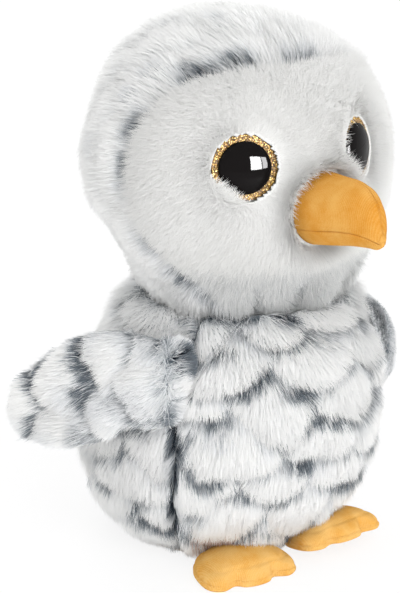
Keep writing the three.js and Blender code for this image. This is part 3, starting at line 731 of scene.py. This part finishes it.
def face_fur_on(name, count):
    root, normal = sample(*head_grid("face", FACE_PILE, 120, 60), count)
    keep = outside_eyes(root, DISC_RADIUS + 0.2) & outside_beak(root, 0.1)
    root, normal = root[keep], normal[keep]
    n, height, local = len(root), root[:, 2], root - HEAD_CENTRE
    comb = tangent(local - COMB_CENTRE, normal) * 0.7 + DOWN * 0.5
    length, low, high = np.full(n, 8.0), np.full(n, 42.0), np.full(n, 28.0)
    for side in (-1, 1):
        near = seen_from_eye(root, side)
        gap = np.hypot(near[:, 0], near[:, 1]) - DISC_RADIUS
        close = smooth(1 - gap / 9)
        away = unit(near[:, :2] @ eye_frame(side)[1][:, :2].T)
        inward = fringe_of(near, gap, side)
        nose = smooth(0.5 - near[:, 0] * side / 16) * (1 - inward)
        turned = np.maximum(close, nose * smooth(1.7 - gap / 9))
        comb = comb * (1 - turned[:, None]) + away * (turned * (1 - 2.2 * inward))[:, None]
        low = mixed(low, 70 - 58 * nose, close) - 26 * inward
        high = mixed(high, 52 - 44 * nose, close) - 34 * inward
        length = length * (1 - (0.36 + 0.2 * nose) * smooth(1 - gap / 6)) + 1.8 * inward
    from_beak = root - BEAK_BASE
    gap = np.hypot(from_beak[:, 0] / (BEAK_WIDTH / 2), from_beak[:, 2] / (BEAK_HEIGHT / 2)) * 15 - 15
    close = smooth(1 - gap / 6)
    comb = mixed(comb, unit(from_beak * [1, 0, 1]), close[:, None])
    low, high, length = mixed(low, 80, close), mixed(high, 76, close), length + 3.0 * close
    cheek = above(np.abs(local[:, 0]), 48, 14) * above(height, 140, 20)
    rim = above(face_share(unit(local)), 0.9, 0.1)
    low, high = low + 8 * cheek + 12 * rim, high + 8 * cheek + 14 * rim
    length = (length + 3.0 * cheek) * (1 - 0.12 * rim)
    chin = below(height, 142, 12)
    comb = mixed(comb, DOWN, chin[:, None])
    lobe, over, normal = neck_fringe(root, height, normal)
    low = mixed(low, 56, chin) + 22 * over * lobe
    high = mixed(high, 30, chin) + 26 * over * lobe
    length = mixed(length, 5.0 + 10.5 * lobe, chin) + 2.0 * over
    # Painted shade: strands between the tufts that hang over the neck are dark.
    painted_shade_between_lobes = below(lobe, 0.6, 0.35) * below(height, 141, 8) * above(drift(root, 9, 79), 0.2, 0.3)
    # Painted shade: the pile is greyer from under the beak down to the chin.
    painted_shade_low = below(height, 157, 20)
    tone = np.clip(mixed(rng.uniform(0, 0.6, n), rng.normal(0.69, 0.05, n), painted_shade_low), 0, 0.8)
    tone = np.maximum(tone, painted_shade_between_lobes * rng.uniform(0.6, 0.98, n))
    return grow(name, root, normal, comb, length, low, high, tone,
                width=0.22, clump=2.0, pull=0.1, stray=0.36, ruffle=0.12)


HOOD_STRANDS, FACE_STRANDS = 56000, 62000
# Each half's side and its seed
HOOD_SIDES = {"left": (1, 31), "right": (-1, 37)}
# Dark roots that show: angle round the face, half width, distance behind its seam, half depth, strength
HOOD_MARKS = {
    "right": [
        (49, 8, 1.5, 4, 1.0), (64, 6, 4, 2.6, 0.75), (88, 5, 1, 4.5, 0.5), (20, 7, 1.5, 4, 0.7),
        (4, 9, 1, 3.5, 0.8), (-22, 6, 1.5, 4, 0.75), (-38, 8, 2, 4, 0.85), (-52, 6, 3, 5, 0.9),
        (-60, 5, 9, 4, 0.8), (41, 4, 13, 3, 0.5), (30, 3, 12, 3, 0.5), (73, 3, 31, 4, 0.5),
        (10, 5, 30, 6, 0.3), (-12, 4, 34, 6, 0.35),
    ],
    "left": [
        (83, 7, 0.5, 4.5, 1.0), (20, 7, 1.5, 4, 0.5), (4, 9, 1, 3.5, 0.6), (-22, 6, 1.5, 4, 0.6),
        (-38, 8, 2, 4, 0.7), (-54, 7, 2, 5, 0.75), (34, 4, 33, 5, 0.35), (-8, 5, 32, 6, 0.35),
    ],
}
# Rows of tufts behind the face's seam and down the back of the head, and the angle where they meet
HOOD_FRONT_ROWS = [(14, 22), (31, 39), (48, 57), (65, 74), (82, 91), (100, 109)]
HOOD_FRONT_PHASES = [8, -8, 8, -8, 8, -8]
HOOD_BACK_ROWS = [(-212, -204), (-195, -186), (-178, -169), (-161, -152), (-144, -135), (-128, -121)]
HOOD_BACK_PHASES = [0, 16, 0, 16, 0, 16]
HOOD_BACK_PHI = 118


def hood_tufts(root, normal, part):
    """Where each place of the pile lies in its tuft, how it is combed, and the tufts' relief."""
    sign, seed = HOOD_SIDES[part]
    local, height = root - HEAD_CENTRE, root[:, 2]
    way = unit(local)
    phi = np.degrees(np.arccos(np.clip(-way[:, 1], -1, 1)))
    psi = np.degrees(np.arctan2(way[:, 2], np.abs(way[:, 0])))
    down = (phi - seam_phi(psi)) * 1.12
    back = tangent(local - COMB_CENTRE * [1, 1, 0], normal)
    comb = mixed(back, DOWN, above(phi, 95, 45)[:, None]) + DOWN * 0.25
    comb = mixed(comb, DOWN, below(height, 138, 14)[:, None])
    lower, across = (drift(root, 15, seed + k) - 0.5 for k in (1, 2))
    front = phi < HOOD_BACK_PHI + 4 * np.sin(psi / 9)
    row_f, col_f, t_f, u_f = tiles(
        down + 8 * lower, psi * 1.15 + 9 * across, HOOD_FRONT_ROWS, 33.0, HOOD_FRONT_PHASES, seed)
    heading = heading_of(way) * sign
    row_b, col_b, t_b, u_b = tiles(
        -height + 8 * lower, heading + 9 * across, HOOD_BACK_ROWS, 32.0, HOOD_BACK_PHASES, seed + 9)
    t, u = np.where(front, t_f, t_b), np.where(front, u_f, u_b)
    row, column = np.where(front, row_f, row_b + 20), np.where(front, col_f, col_b + 50)
    rise = 2.6 * (0.6 + 0.8 * noise_of(row, column, seed=seed + 8))
    rise = rise * smooth(down / 4) * above(height, 119, 8)
    tight = below(height, 170, 24) * above(phi, 72, 24)
    rise = rise * (1 - 0.7 * tight) * smooth(np.abs(local[:, 0]) / 3)
    rise = rise * smooth((np.abs(phi - HOOD_BACK_PHI) + 9) / 12)
    relief, normal = pillows(normal, comb, t, u, rise, 17.0, 36.0)
    crown = above(height, 200, 22) * smooth(down / 9) * below(root[:, 0], 24, 30)
    relief = relief + 4.0 * crown - 2.2 * tight * above(height, 124, 12)
    return psi, down, comb, row, column, t, u, tight, relief, normal


def hood_fur_on(part, name, count):
    seed = HOOD_SIDES[part][1]
    root, cloth_normal = sample(*head_grid(part, HOOD_PILE, 90, 70), count)
    psi, down, comb, row, column, t, u, tight, relief, normal = hood_tufts(root, cloth_normal, part)
    patch, streak = drift(root, 12, seed + 3), drift(root, 1.5, seed + 4)
    height, from_middle = root[:, 2], np.abs(root[:, 0])
    root = root + cloth_normal * relief[:, None]
    inner = (row > 0) * (0.08 + 0.4 * above(down, 30, 45))
    tone = smooth((0.3 - t - 0.25 * (streak - 0.5)) / 0.16) * inner * (0.2 + 0.95 * patch)
    for middle, wide, place, deep, strength in HOOD_MARKS[part]:
        mark = strength * np.exp(-((psi - middle) / wide) ** 4 - ((down - place) / deep) ** 4)
        tone = np.maximum(tone, mark * (0.55 + 0.5 * patch))
    tone = np.clip(tone * (0.6 + 0.7 * streak) + rng.normal(0, 0.04, count), 0, DARKEST)
    rim, neck = smooth(1 - down / 9), below(height, 138, 14)
    lobe, over, normal = neck_fringe(root, height, normal)
    lift = mixed(mixed(15 + 30 * t ** 1.8, 48, rim), 42, neck) + 32 * over * lobe
    length = mixed(10.6 - 3.0 * t ** 2 - rim, 6.0 + 7.0 * lobe, neck) + 3.0 * over
    lift, length = lift * (1 - 0.5 * tight), length * (1 - 0.28 * tight)
    crown_seam = smooth((3.0 - from_middle) / 3.0) * (height > HEAD_CENTRE[2]) * (down > 12)
    length = length * (1 - 0.15 * crown_seam)
    swing = 0.4 * fanned(u) + 0.6 * (noise_of(row, column, seed=seed + 7) - 0.5)
    comb = comb + unit(np.cross(comb, normal)) * swing[:, None]
    return grow(name, root, normal, comb, length, lift + 8, lift - 8, tone, pull=0.3, ruffle=0.22)


for part in ("left", "right"):
    points, quads = head_grid(part, HOOD_PILE - CLOTH_RISE, 120, 110)
    outward = vertex_normals(points, quads)
    relief = hood_tufts(points, outward, part)[8]
    points = points + outward * (relief - RELIEF_DROP)[:, None]
    cloth_piece(f"hood_{part}_backing", points, quads, 2.0, "head", f"hood_{part}_panel",
                backing_white)
    finish_piece(hood_fur_on(part, f"hood_{part}_fur", HOOD_STRANDS), "head", body_fur)

points, quads = head_grid("face", FACE_PILE - CLOTH_RISE, 144, 72)
middles = points[quads].mean(1)
quads = quads[outside_eyes(middles, DISC_RADIUS - 0.1) & outside_beak(middles, -1.0)]
cloth_piece("face_backing", points, quads, 1.9, "head", "face_panel", backing_white)
for letter in "ab":
    finish_piece(face_fur_on(f"face_fur_{letter}", FACE_STRANDS), "head", face_fur)

# Eyes
DOME_FOOT = 1.5
SHANK_END = -8.5
FLAKE_STEPS = 230


def lathe(profile, segments=72):
    """A closed form turned about Z from (radius, height) pairs that start and end on the axis."""
    turn = np.linspace(0, 2 * math.pi, segments, endpoint=False)
    inner = profile[1:-1]
    points = [(0, 0, profile[0][1])]
    for radius, height in inner:
        points += [(radius * math.cos(a), radius * math.sin(a), height) for a in turn]
    points.append((0, 0, profile[-1][1]))
    faces = []
    last = len(points) - 1
    top = last - segments
    for k in range(segments):
        n = (k + 1) % segments
        faces.append((0, 1 + n, 1 + k))
        for a in range(1, top, segments):
            b = a + segments
            faces.append((a + k, a + n, b + n, b + k))
        faces.append((top + k, top + n, last))
    return np.array(points), faces


def dome_profile():
    """From the shank's end, round under the dome and over it."""
    rim = DOME_FOOT + 0.25
    shank = [(0, SHANK_END), (SHANK_RADIUS, SHANK_END), (SHANK_RADIUS, DOME_FOOT)]
    turn = np.linspace(0.06, math.pi / 2, 22)[:-1]
    over = [(DOME_RADIUS * math.cos(a), rim + DOME_RISE * math.sin(a)) for a in turn]
    return shank + [(DOME_RADIUS - 0.25, DOME_FOOT), (DOME_RADIUS, rim)] + over + [(0, rim + DOME_RISE)]


def glitter_ring():
    """A ring of small flakes, each at its own tilt."""
    edge = DISC_RADIUS - np.array([0.1, 0, 0.1])
    radii = np.concatenate([[SHANK_RADIUS + 0.4], np.linspace(9.8, 13.1, 11), edge])
    levels = np.concatenate([[DISC_THICK - 0.05], np.full(11, DISC_THICK), [1.0, 0.6, 0.05]])
    angle = np.linspace(0, 2 * math.pi, FLAKE_STEPS, endpoint=False)
    r = np.repeat(radii[:, None], FLAKE_STEPS, 1)
    z = np.repeat(levels[:, None], FLAKE_STEPS, 1)
    r[2:11] += rng.uniform(-0.12, 0.12, (9, FLAKE_STEPS))
    z[1:12] += rng.uniform(-0.13, 0.13, (11, FLAKE_STEPS))
    a = angle[None] + rng.uniform(-0.008, 0.008, r.shape)
    ring = np.stack([r * np.cos(a), r * np.sin(a), z], -1)
    ring = np.concatenate([ring, ring[:1] * [1, 1, 0]], 0)
    i, j = np.meshgrid(np.arange(FLAKE_STEPS), np.arange(len(ring)))
    here, there = j * FLAKE_STEPS, (j + 1) % len(ring) * FLAKE_STEPS
    after = (i + 1) % FLAKE_STEPS
    quads = np.stack([here + i, here + after, there + after, there + i], -1).reshape(-1, 4)
    return ring.reshape(-1, 3), np.concatenate([quads[:, [0, 2, 1]], quads[:, [0, 3, 2]]])


for side, name in ((1, "left"), (-1, "right")):
    origin, axes = eye_frame(side)
    points, faces = lathe(dome_profile())
    obj = new_mesh(f"eye_{name}_glass", points @ axes.T + origin, faces)
    finish_piece(obj, "head", eye_black)
    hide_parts(f"eye_dome_{name}")
    points, faces = glitter_ring()
    obj = new_mesh(f"eye_{name}_glitter", points @ axes.T + origin, faces, shade_smooth=False)
    finish_piece(obj, "head", gold_glitter)
    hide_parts(f"eye_glitter_disc_{name}")

# Beak
BEAK_SHAPE = np.array([
    # along, wide, top, bottom, as shares of the beak's sizes
    (0, 1, 0.5, -0.5), (0.3, 0.92, 0.5, -0.42), (0.6, 0.7, 0.5, -0.34), (0.82, 0.47, 0.4, -0.3),
    (0.95, 0.27, 0.18, -0.28), (1, 0.12, -0.06, -0.24),
])
# From here on the grid rounds off the beak's end
BEAK_CAP_SHARE = 0.86
BEAK_NOSE = 0.6


def curve_through(x, xs, ys):
    """A smooth curve through points, by cubic Hermite steps."""
    slope = np.gradient(ys, xs)
    k = np.clip(np.searchsorted(xs, x, side="right") - 1, 0, len(xs) - 2)
    h = xs[k + 1] - xs[k]
    t = (x - xs[k]) / h
    return ((2 * t ** 3 - 3 * t ** 2 + 1) * ys[k] + (t ** 3 - 2 * t ** 2 + t) * h * slope[k]
            + (-2 * t ** 3 + 3 * t ** 2) * ys[k + 1] + (t ** 3 - t ** 2) * h * slope[k + 1])


def beak_skin(turn, along, cap):
    """turn in degrees: 90 on the ridge, 0 at the owl's left. cap runs from 0 to 1 over the rounded end."""
    wide, top, bottom = (curve_through(along, BEAK_SHAPE[:, 0], BEAK_SHAPE[:, k]) for k in (1, 2, 3))
    close = np.cos(cap * math.pi / 2)
    half_wide = BEAK_WIDTH * wide / 2 * close
    half_high = BEAK_HEIGHT * (top - bottom) / 2 * close
    middle = BEAK_HEIGHT * (top + bottom) / 2
    a = np.radians(turn)
    forward = BEAK_LENGTH * along - BEAK_NOSE + BEAK_NOSE * np.sin(cap * math.pi / 2)
    ridge = np.cos(a) * np.abs(np.cos(a)) ** 0.08
    return np.stack([half_wide * ridge, -forward + 0 * a, middle + half_high * np.sin(a)], -1) + BEAK_BASE


def beak_piece(label, start, end):
    """One panel, with a groove at its seams, a swell beside them and a row of stitches."""
    heart = BEAK_BASE + [0, -BEAK_LENGTH * 0.45, 0]

    def place(u, v):
        along = 1 - (1 - np.clip(v / BEAK_CAP_SHARE, 0, 1)) ** 1.6
        cap = np.clip((v - BEAK_CAP_SHARE) / (1 - BEAK_CAP_SHARE), 0, 1)
        p = beak_skin(start + (end - start) * u, along, cap)
        seam = np.minimum(u, 1 - u) * abs(end - start) * 0.2
        swell = 0.25 * np.exp(-((seam - 1.0) / 0.8) ** 2) - 0.4 * np.exp(-(seam / 0.4) ** 2)
        thread = 0.6 + 0.4 * np.sign(np.sin(along * BEAK_LENGTH * 2.6))
        stitch = np.exp(-((seam - 2.1) / 0.28) ** 2) * 0.16 * thread
        return p + unit(p - heart) * ((swell - stitch) * (1 - cap))[..., None]

    points, quads = grid(place, 60, 72)
    cloth_piece(f"beak_{label}_velboa", points, facing_out(points, quads, heart), 1.4, "head",
                f"beak_{label}_panel", beak_cloth)


for label, start, end in (("left", -28.0, 90.0), ("right", 90.0, 208.0), ("under", 208.0, 332.0)):
    beak_piece(label, start, end)

# Wings
WING_EDGE = [
    # along and up the wing, as shares of its length and height
    (0.18, -0.28), (0.42, -0.43), (0.68, -0.47), (0.92, -0.34), (1, -0.14),
    (0.93, 0.08), (0.76, 0.28), (0.5, 0.45), (0.2, 0.44),
]
WING_ROWS = [(12, 22), (29, 40), (46, 57), (61, 70)]
WING_PHASES = [2, -10, 4, -9]
WING_INSET = 4.5
WING_STRANDS = 22000
# Each wing's seat, its directions along, up the seam and away, its droop, curl and sag in degrees,
# and how much of the full pile stands up
WINGS = {
    "left": ((52.935, -33.862, 90.151), (0.6502, 0.7439, 0.1544), (-0.2741, 0.0401, 0.9609),
             (0.7086, -0.6671, 0.23), 32, 56, 44, 0.5),
    "right": ((-52.935, -33.862, 90.151), (-0.8115, 0.5459, 0.2087), (0.2741, 0.0401, 0.9609),
              (-0.5161, -0.8369, 0.1822), 13, 8, 12, 1.0),
}


def smooth_loop(points, count):
    """Evenly spaced points on a closed curve through points."""
    p = np.asarray(points, float)
    n = len(p)
    out = []
    for k in range(n):
        a, b, c, d = p[k - 1], p[k], p[(k + 1) % n], p[(k + 2) % n]
        for t in np.linspace(0, 1, 24, endpoint=False):
            out.append(0.5 * (2 * b + (c - a) * t + (2 * a - 5 * b + 4 * c - d) * t * t
                              + (3 * b - a - 3 * c + d) * t ** 3))
    out = np.array(out + out[:1])
    length = np.concatenate([[0], np.cumsum(np.linalg.norm(np.diff(out, axis=0), axis=1))])
    at = np.linspace(0, length[-1], count, endpoint=False)
    return np.stack([np.interp(at, length, out[:, k]) for k in range(out.shape[1])], 1)


def around(outline, u):
    """The numbers of an outline's points at shares u of the way round."""
    return np.round(u * len(outline)).astype(int) % len(outline)


def wing_outline(droop):
    turn = np.array([[math.cos(droop), math.sin(droop)], [-math.sin(droop), math.cos(droop)]])
    edge = [np.array([a * WING_LENGTH, b * WING_HEIGHT]) @ turn.T for a, b in WING_EDGE]
    return smooth_loop([np.array([0, WING_ROOT]), np.array([0, -WING_ROOT])] + edge, 160)


def wing_grid(droop, face):
    """One face of a flat wing, from edge to crown. The third number is the height, the fourth how far in
    from the edge. The root's edge isn't drawn in, so it reaches into the body's pile."""
    outline = wing_outline(droop)
    middle = np.array([math.cos(droop), -math.sin(droop)]) * WING_LENGTH * 0.42
    hold = smooth(outline[:, 0] / 12)
    drawn_in = WING_INSET * hold - 1.5 * (1 - hold)

    def place(u, v):
        k = around(outline, u)
        spread = np.cos(v * math.pi / 2)
        rim = outline[k] - middle
        reach = np.linalg.norm(rim, axis=-1, keepdims=True)
        flat = middle + rim * (reach - drawn_in[k][..., None]) / reach * spread[..., None]
        height = (face * (WING_THICK / 2 - WING_INSET) * np.sin(v * math.pi / 2))[..., None]
        return np.concatenate([flat, height, reach * (1 - spread[..., None])], -1)
    return grid(place, len(outline), 40, closed=True)


def curled(points, axis, length, degrees):
    """Bends a pad down round a post behind it, by so many degrees over a length."""
    radius = length / math.radians(degrees)
    turn, reach = points[:, axis] / radius, radius + points[:, 2]
    bent = points.copy()
    bent[:, axis] = reach * np.sin(turn)
    bent[:, 2] = reach * np.cos(turn) - radius
    return bent


def wing_tufts(root, normal, flat, droop, axes, seed):
    """Where each place of the pile lies along the wing and in its tuft, how it is combed, and the relief."""
    s = flat[:, 0] * math.cos(droop) - flat[:, 1] * math.sin(droop)
    q = flat[:, 0] * math.sin(droop) + flat[:, 1] * math.cos(droop)
    lower, across = (drift(root, 14, seed + k) - 0.5 for k in (1, 2))
    row, column, t, u = tiles(s + 8 * lower, q + 8 * across, WING_ROWS, 24.0, WING_PHASES, seed)
    fan = 0.35 - 0.5 * fanned(u)
    comb = axes[0] * np.cos(droop + fan)[:, None] - axes[1] * np.sin(droop + fan)[:, None]
    rise = 2.2 * (0.7 + 0.6 * noise_of(row, column, seed=seed + 8)) * smooth(flat[:, 3] / 8) * smooth(s / 10)
    relief, normal = pillows(normal, comb, t, u, rise, 16.0, 27.0)
    return s, comb, t, u, relief, normal


def wing_tone(root, s, t, u, snug, seed):
    patch, streak = drift(root, 9, seed + 3), drift(root, 1.4, seed + 4)
    jagged = t + 0.25 * (streak - 0.5)
    tone = below(jagged, 0.28, 0.12) * (0.3 + patch) * smooth(s / 14)
    tone = np.maximum(tone, 0.42 * drift(root, 11, seed + 7))
    corner = above(np.abs(u), 0.8, 0.2) * below(jagged, 0.95, 0.3)
    tone = np.maximum(tone, corner * 0.9 * drift(root, 9, seed + 5))
    at_root = snug * below(s, 10, 5) * (1.4 * drift(root, 6, seed + 6) - 0.3 + 0.5 * (snug - 1))
    tone = np.maximum(tone, at_root)
    return np.clip(tone * (0.75 + 0.45 * streak) + rng.normal(0, 0.03, len(s)), 0, DARKEST)


def wing_half(name, label):
    """The outer or inner panel of a wing, and its fur. At the root the pile lies back over the seam."""
    seat, along, up, away, droop, curl, sag, snug = WINGS[name]
    droop, axes = math.radians(droop), np.array([along, up, away])
    side, face = (1 if name == "left" else -1), (1 if label == "outer" else -1)
    flat, quads = wing_grid(droop, face)
    if face * side < 0:
        quads = quads[:, ::-1]
    seed = 50 + face + 3 * side
    cloth = curled(curled(flat[:, :3], 1, WING_HEIGHT, sag), 0, WING_LENGTH, curl) @ axes + np.array(seat)
    shown = quads[~in_body(cloth[quads].mean(1), 3.5)]

    root, cloth_normal, local = sample(cloth, shown, WING_STRANDS, flat)
    s, comb, t, u, relief, normal = wing_tufts(root, cloth_normal, local, droop, axes, seed)
    tone = wing_tone(root, s, t, u, snug, seed)
    backward = below(s, 7, 4)
    comb = comb * (1 - 2 * backward[:, None])
    lift = mixed((13 + 34 * t ** 2) * (1 - 0.5 * smooth(1 - s / 20)) * snug, 24, backward)
    length = np.minimum(10.5 - 3.2 * t ** 2, (5.0 + 1.1 * local[:, 3]) * snug) * (1 - 0.3 * backward)
    root = root + cloth_normal * (relief * snug)[:, None]
    fur = grow(f"wing_{name}_{label}_fur", root, normal, comb, length, lift + 8, lift - 8, tone)
    finish_piece(fur, f"wing_{name}", body_fur)

    outward = vertex_normals(cloth, quads)
    relief = wing_tufts(cloth, outward, flat, droop, axes, seed)[4]
    cloth = cloth + outward * (relief * snug - RELIEF_DROP * smooth(flat[:, 3] / 3))[:, None]
    cloth_piece(f"wing_{name}_{label}_backing", cloth, shown, 1.6, f"wing_{name}",
                f"wing_{name}_{label}_panel", backing_grey)


for name in WINGS:
    for label in ("outer", "inner"):
        wing_half(name, label)

# Feet
FOOT_SIDE = [
    # along and across the foot, as shares of its length and width
    (0.05, -0.26), (0.3, -0.44), (0.62, -0.5), (0.84, -0.48), (0.94, -0.37), (0.88, -0.22), (0.97, -0.13),
]
FOOT_EDGE = [(0.05, 0.26)] + FOOT_SIDE + [(1, 0)] + [(a, -b) for a, b in FOOT_SIDE[:0:-1]]
FOOT_MIDDLE = np.array([FOOT_LENGTH * 0.52, 0])
FOOT_OUTLINE = smooth_loop([np.array(p) * [FOOT_LENGTH, FOOT_WIDTH] for p in FOOT_EDGE], 200)
# Each foot's heel, and its directions along and across
FEET = {
    "left": ((22.5, -21.605, 0), (0.0849, -0.9707, 0.225), (0.9962, 0.0872, 0)),
    "right": ((-22.5, -21.605, 0), (-0.1045, -0.9945, 0), (0.9945, -0.1045, 0)),
}
# Up to here the sole's grid runs down the foot's edge
SOLE_EDGE_SHARE = 0.34
SOLE_BULGE = 0.03


def foot_oval():
    """A smooth oval that the toed outline fades into towards the foot's crown."""
    oval = FOOT_MIDDLE + (FOOT_OUTLINE - FOOT_MIDDLE) * 0.5
    for _ in range(24):
        oval = (np.roll(oval, 3, 0) + oval + np.roll(oval, -3, 0)) / 3
    return FOOT_MIDDLE + (oval - FOOT_MIDDLE) * 2.0


FOOT_OVAL = foot_oval()


def foot_top(u, v):
    """The top, with a groove inside its edge."""
    k = around(FOOT_OUTLINE, u)
    spread = np.cos(v * math.pi / 2)
    rim = mixed(FOOT_OUTLINE[k], FOOT_OVAL[k], smooth(v / 0.5)[..., None]) - FOOT_MIDDLE
    flat = FOOT_MIDDLE + rim * spread[..., None]
    inward = np.linalg.norm(rim, axis=-1) * (1 - spread)
    height = (FOOT_THICK - HEEL) * np.sin(v * math.pi / 2) ** 0.9
    height = height - 0.5 * np.exp(-((inward - 2.4) / 0.6) ** 2)
    return np.concatenate([flat, (HEEL + height)[..., None]], -1)


def foot_sole(u, v):
    """The sole's edge, which bulges a little, and the sole."""
    rim = FOOT_OUTLINE[around(FOOT_OUTLINE, u)] - FOOT_MIDDLE
    on_edge, down = v < SOLE_EDGE_SHARE, v / SOLE_EDGE_SHARE
    bulge = 1 + SOLE_BULGE * np.cos((down - 0.5) * math.pi)
    inward = 1 - (v - SOLE_EDGE_SHARE) / (1 - SOLE_EDGE_SHARE)
    flat = FOOT_MIDDLE + rim * np.where(on_edge, bulge, inward)[..., None]
    return np.concatenate([flat, np.where(on_edge, HEEL * (1 - down), 0.0)[..., None]], -1)


def foot_piece(name, place, rows, flipped, piece, depth, node):
    heel, along, across = (np.array(v, float) for v in FEET[name])
    flat, quads = grid(place, len(FOOT_OUTLINE), rows, closed=True)
    points = heel + flat[:, :1] * along + flat[:, 1:2] * across + flat[:, 2:3] * np.cross(along, across)
    quads = quads[~in_body(points[quads].mean(1), 8.0)]
    cloth_piece(f"foot_{name}_{piece}", points, quads[:, ::-1] if flipped else quads, depth, f"foot_{name}",
                f"foot_{name}_{node}", foot_cloth)


for name in FEET:
    foot_piece(name, foot_top, 36, False, "velboa", 1.2, "top_panel")
    foot_piece(name, foot_sole, 24, True, "sole", 0, "sole_panel")

# Base
BASE_MIDDLE = np.array([0, 12.5, 0])
BASE_EDGE_SHARE = 0.2


def base_place(u, v):
    """Down the base panel's edge, and then in to its middle."""
    height = BASE_THICK - BASE_THICK * np.minimum(v / BASE_EDGE_SHARE, 1)
    p = body_point(360 * u, rise_at(360 * u, height), 1.0)
    shrink = np.where(v < BASE_EDGE_SHARE, 1.0, 1 - (v - BASE_EDGE_SHARE) / (1 - BASE_EDGE_SHARE))
    p = BASE_MIDDLE + (p - BASE_MIDDLE) * np.stack([shrink, shrink, np.ones_like(v)], -1)
    p[..., 2] = height
    return p


points, quads = grid(base_place, 90, 20, closed=True)
cloth_piece("base_cloth_disc", points, quads[:, ::-1], 0, "body", "base_panel",
            base_cloth)

# Pieces kept from the CAD, by a word in their names
KEPT = {"filling": fibre, "pouch": pouch_cloth, "washer": washer_plastic}
for node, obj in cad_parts.items():
    for word, mat in KEPT.items():
        if word in node:
            dress(obj, mat)

# Floor and world
FLOOR_SIZE, FLOOR_DROP, FLOOR_GLOW = 3000, 0.3, 0.85
floor, tree, shader = material("floor")
join(tree, shader, {"Base Color": (0.92, 0.92, 0.92, 1), "Roughness": 0.9})
to_camera = add_node(tree, "LightPath")["Is Camera Ray"]
seen = add_node(tree, "Math", {0: to_camera, 1: FLOOR_GLOW}, operation="MULTIPLY")
glow = add_node(tree, "Emission", {"Color": (1, 1, 1, 1), "Strength": 1.0})
surface(tree, seen[0], shader.outputs[0], glow[0])
points, quads = grid(
    lambda u, v: np.stack([(u - 0.5) * FLOOR_SIZE, (v - 0.5) * FLOOR_SIZE, 0 * u - FLOOR_DROP], -1), 4, 4)
obj = new_mesh("floor", points, quads)
dress(obj, floor)

world = bpy.data.worlds.new("studio")
bpy.context.scene.world = world
world.use_nodes = True
tree = world.node_tree
rays = add_node(tree, "LightPath")
seen = add_node(tree, "Math", {0: rays["Is Camera Ray"], 1: rays["Is Glossy Ray"]}, operation="MAXIMUM")
level = add_node(tree, "MapRange", {"To Min": 0.94, "To Max": 1.0, "Value": seen[0]})
join(tree, tree.nodes["Background"], {"Color": (1, 1, 1, 1), "Strength": level[0]})


# Lights and camera, with places and sizes in metres
def area_light(name, place, target, size, power):
    data = bpy.data.lights.new(name, "AREA")
    data.shape = "RECTANGLE"
    data.size = data.size_y = size
    data.energy = power
    obj = link(name, data)
    obj.location = place
    obj.rotation_euler = (target - place).to_track_quat("-Z", "Y").to_euler()
    return obj


CENTRE = Vector((0, 0, 0.12))
BOX_SIZE, PANE_SIZE, PANE_DISTANCE = 1.1, 0.24, 0.7
for name, place, power in (("key", (-0.5, -1.3, 1.05), 12.0), ("rear", (0.5, 1.3, 1.3), 8.0)):
    area_light(name, Vector(place), CENTRE, BOX_SIZE, power).visible_glossy = False
# Two panes that the eyes mirror
NEAR_EYE = Vector((-0.028, -0.043, 0.18))
for name, way, power in (("window_a", (-0.03, -0.995, 0.1), 40.0), ("window_b", (0.34, -0.935, 0.1), 22.0)):
    place = NEAR_EYE + Vector(way) * PANE_DISTANCE
    area_light(name, place, NEAR_EYE, PANE_SIZE, power).visible_diffuse = False

TARGET = Vector((-0.012, 0.010, 0.109))
AZIMUTH, ELEVATION, DISTANCE, LENS = -35, 18, 0.85, 118.7
camera = link("camera", bpy.data.cameras.new("camera"))
toward = Vector(directions(AZIMUTH, ELEVATION))
camera.location = TARGET + toward * DISTANCE
camera.rotation_euler = (-toward).to_track_quat("-Z", "Y").to_euler()
camera.data.lens = LENS
camera.data.sensor_width = 36
camera.data.clip_start = 0.05
bpy.context.scene.camera = camera
bpy.context.scene.view_settings.view_transform = "Standard"
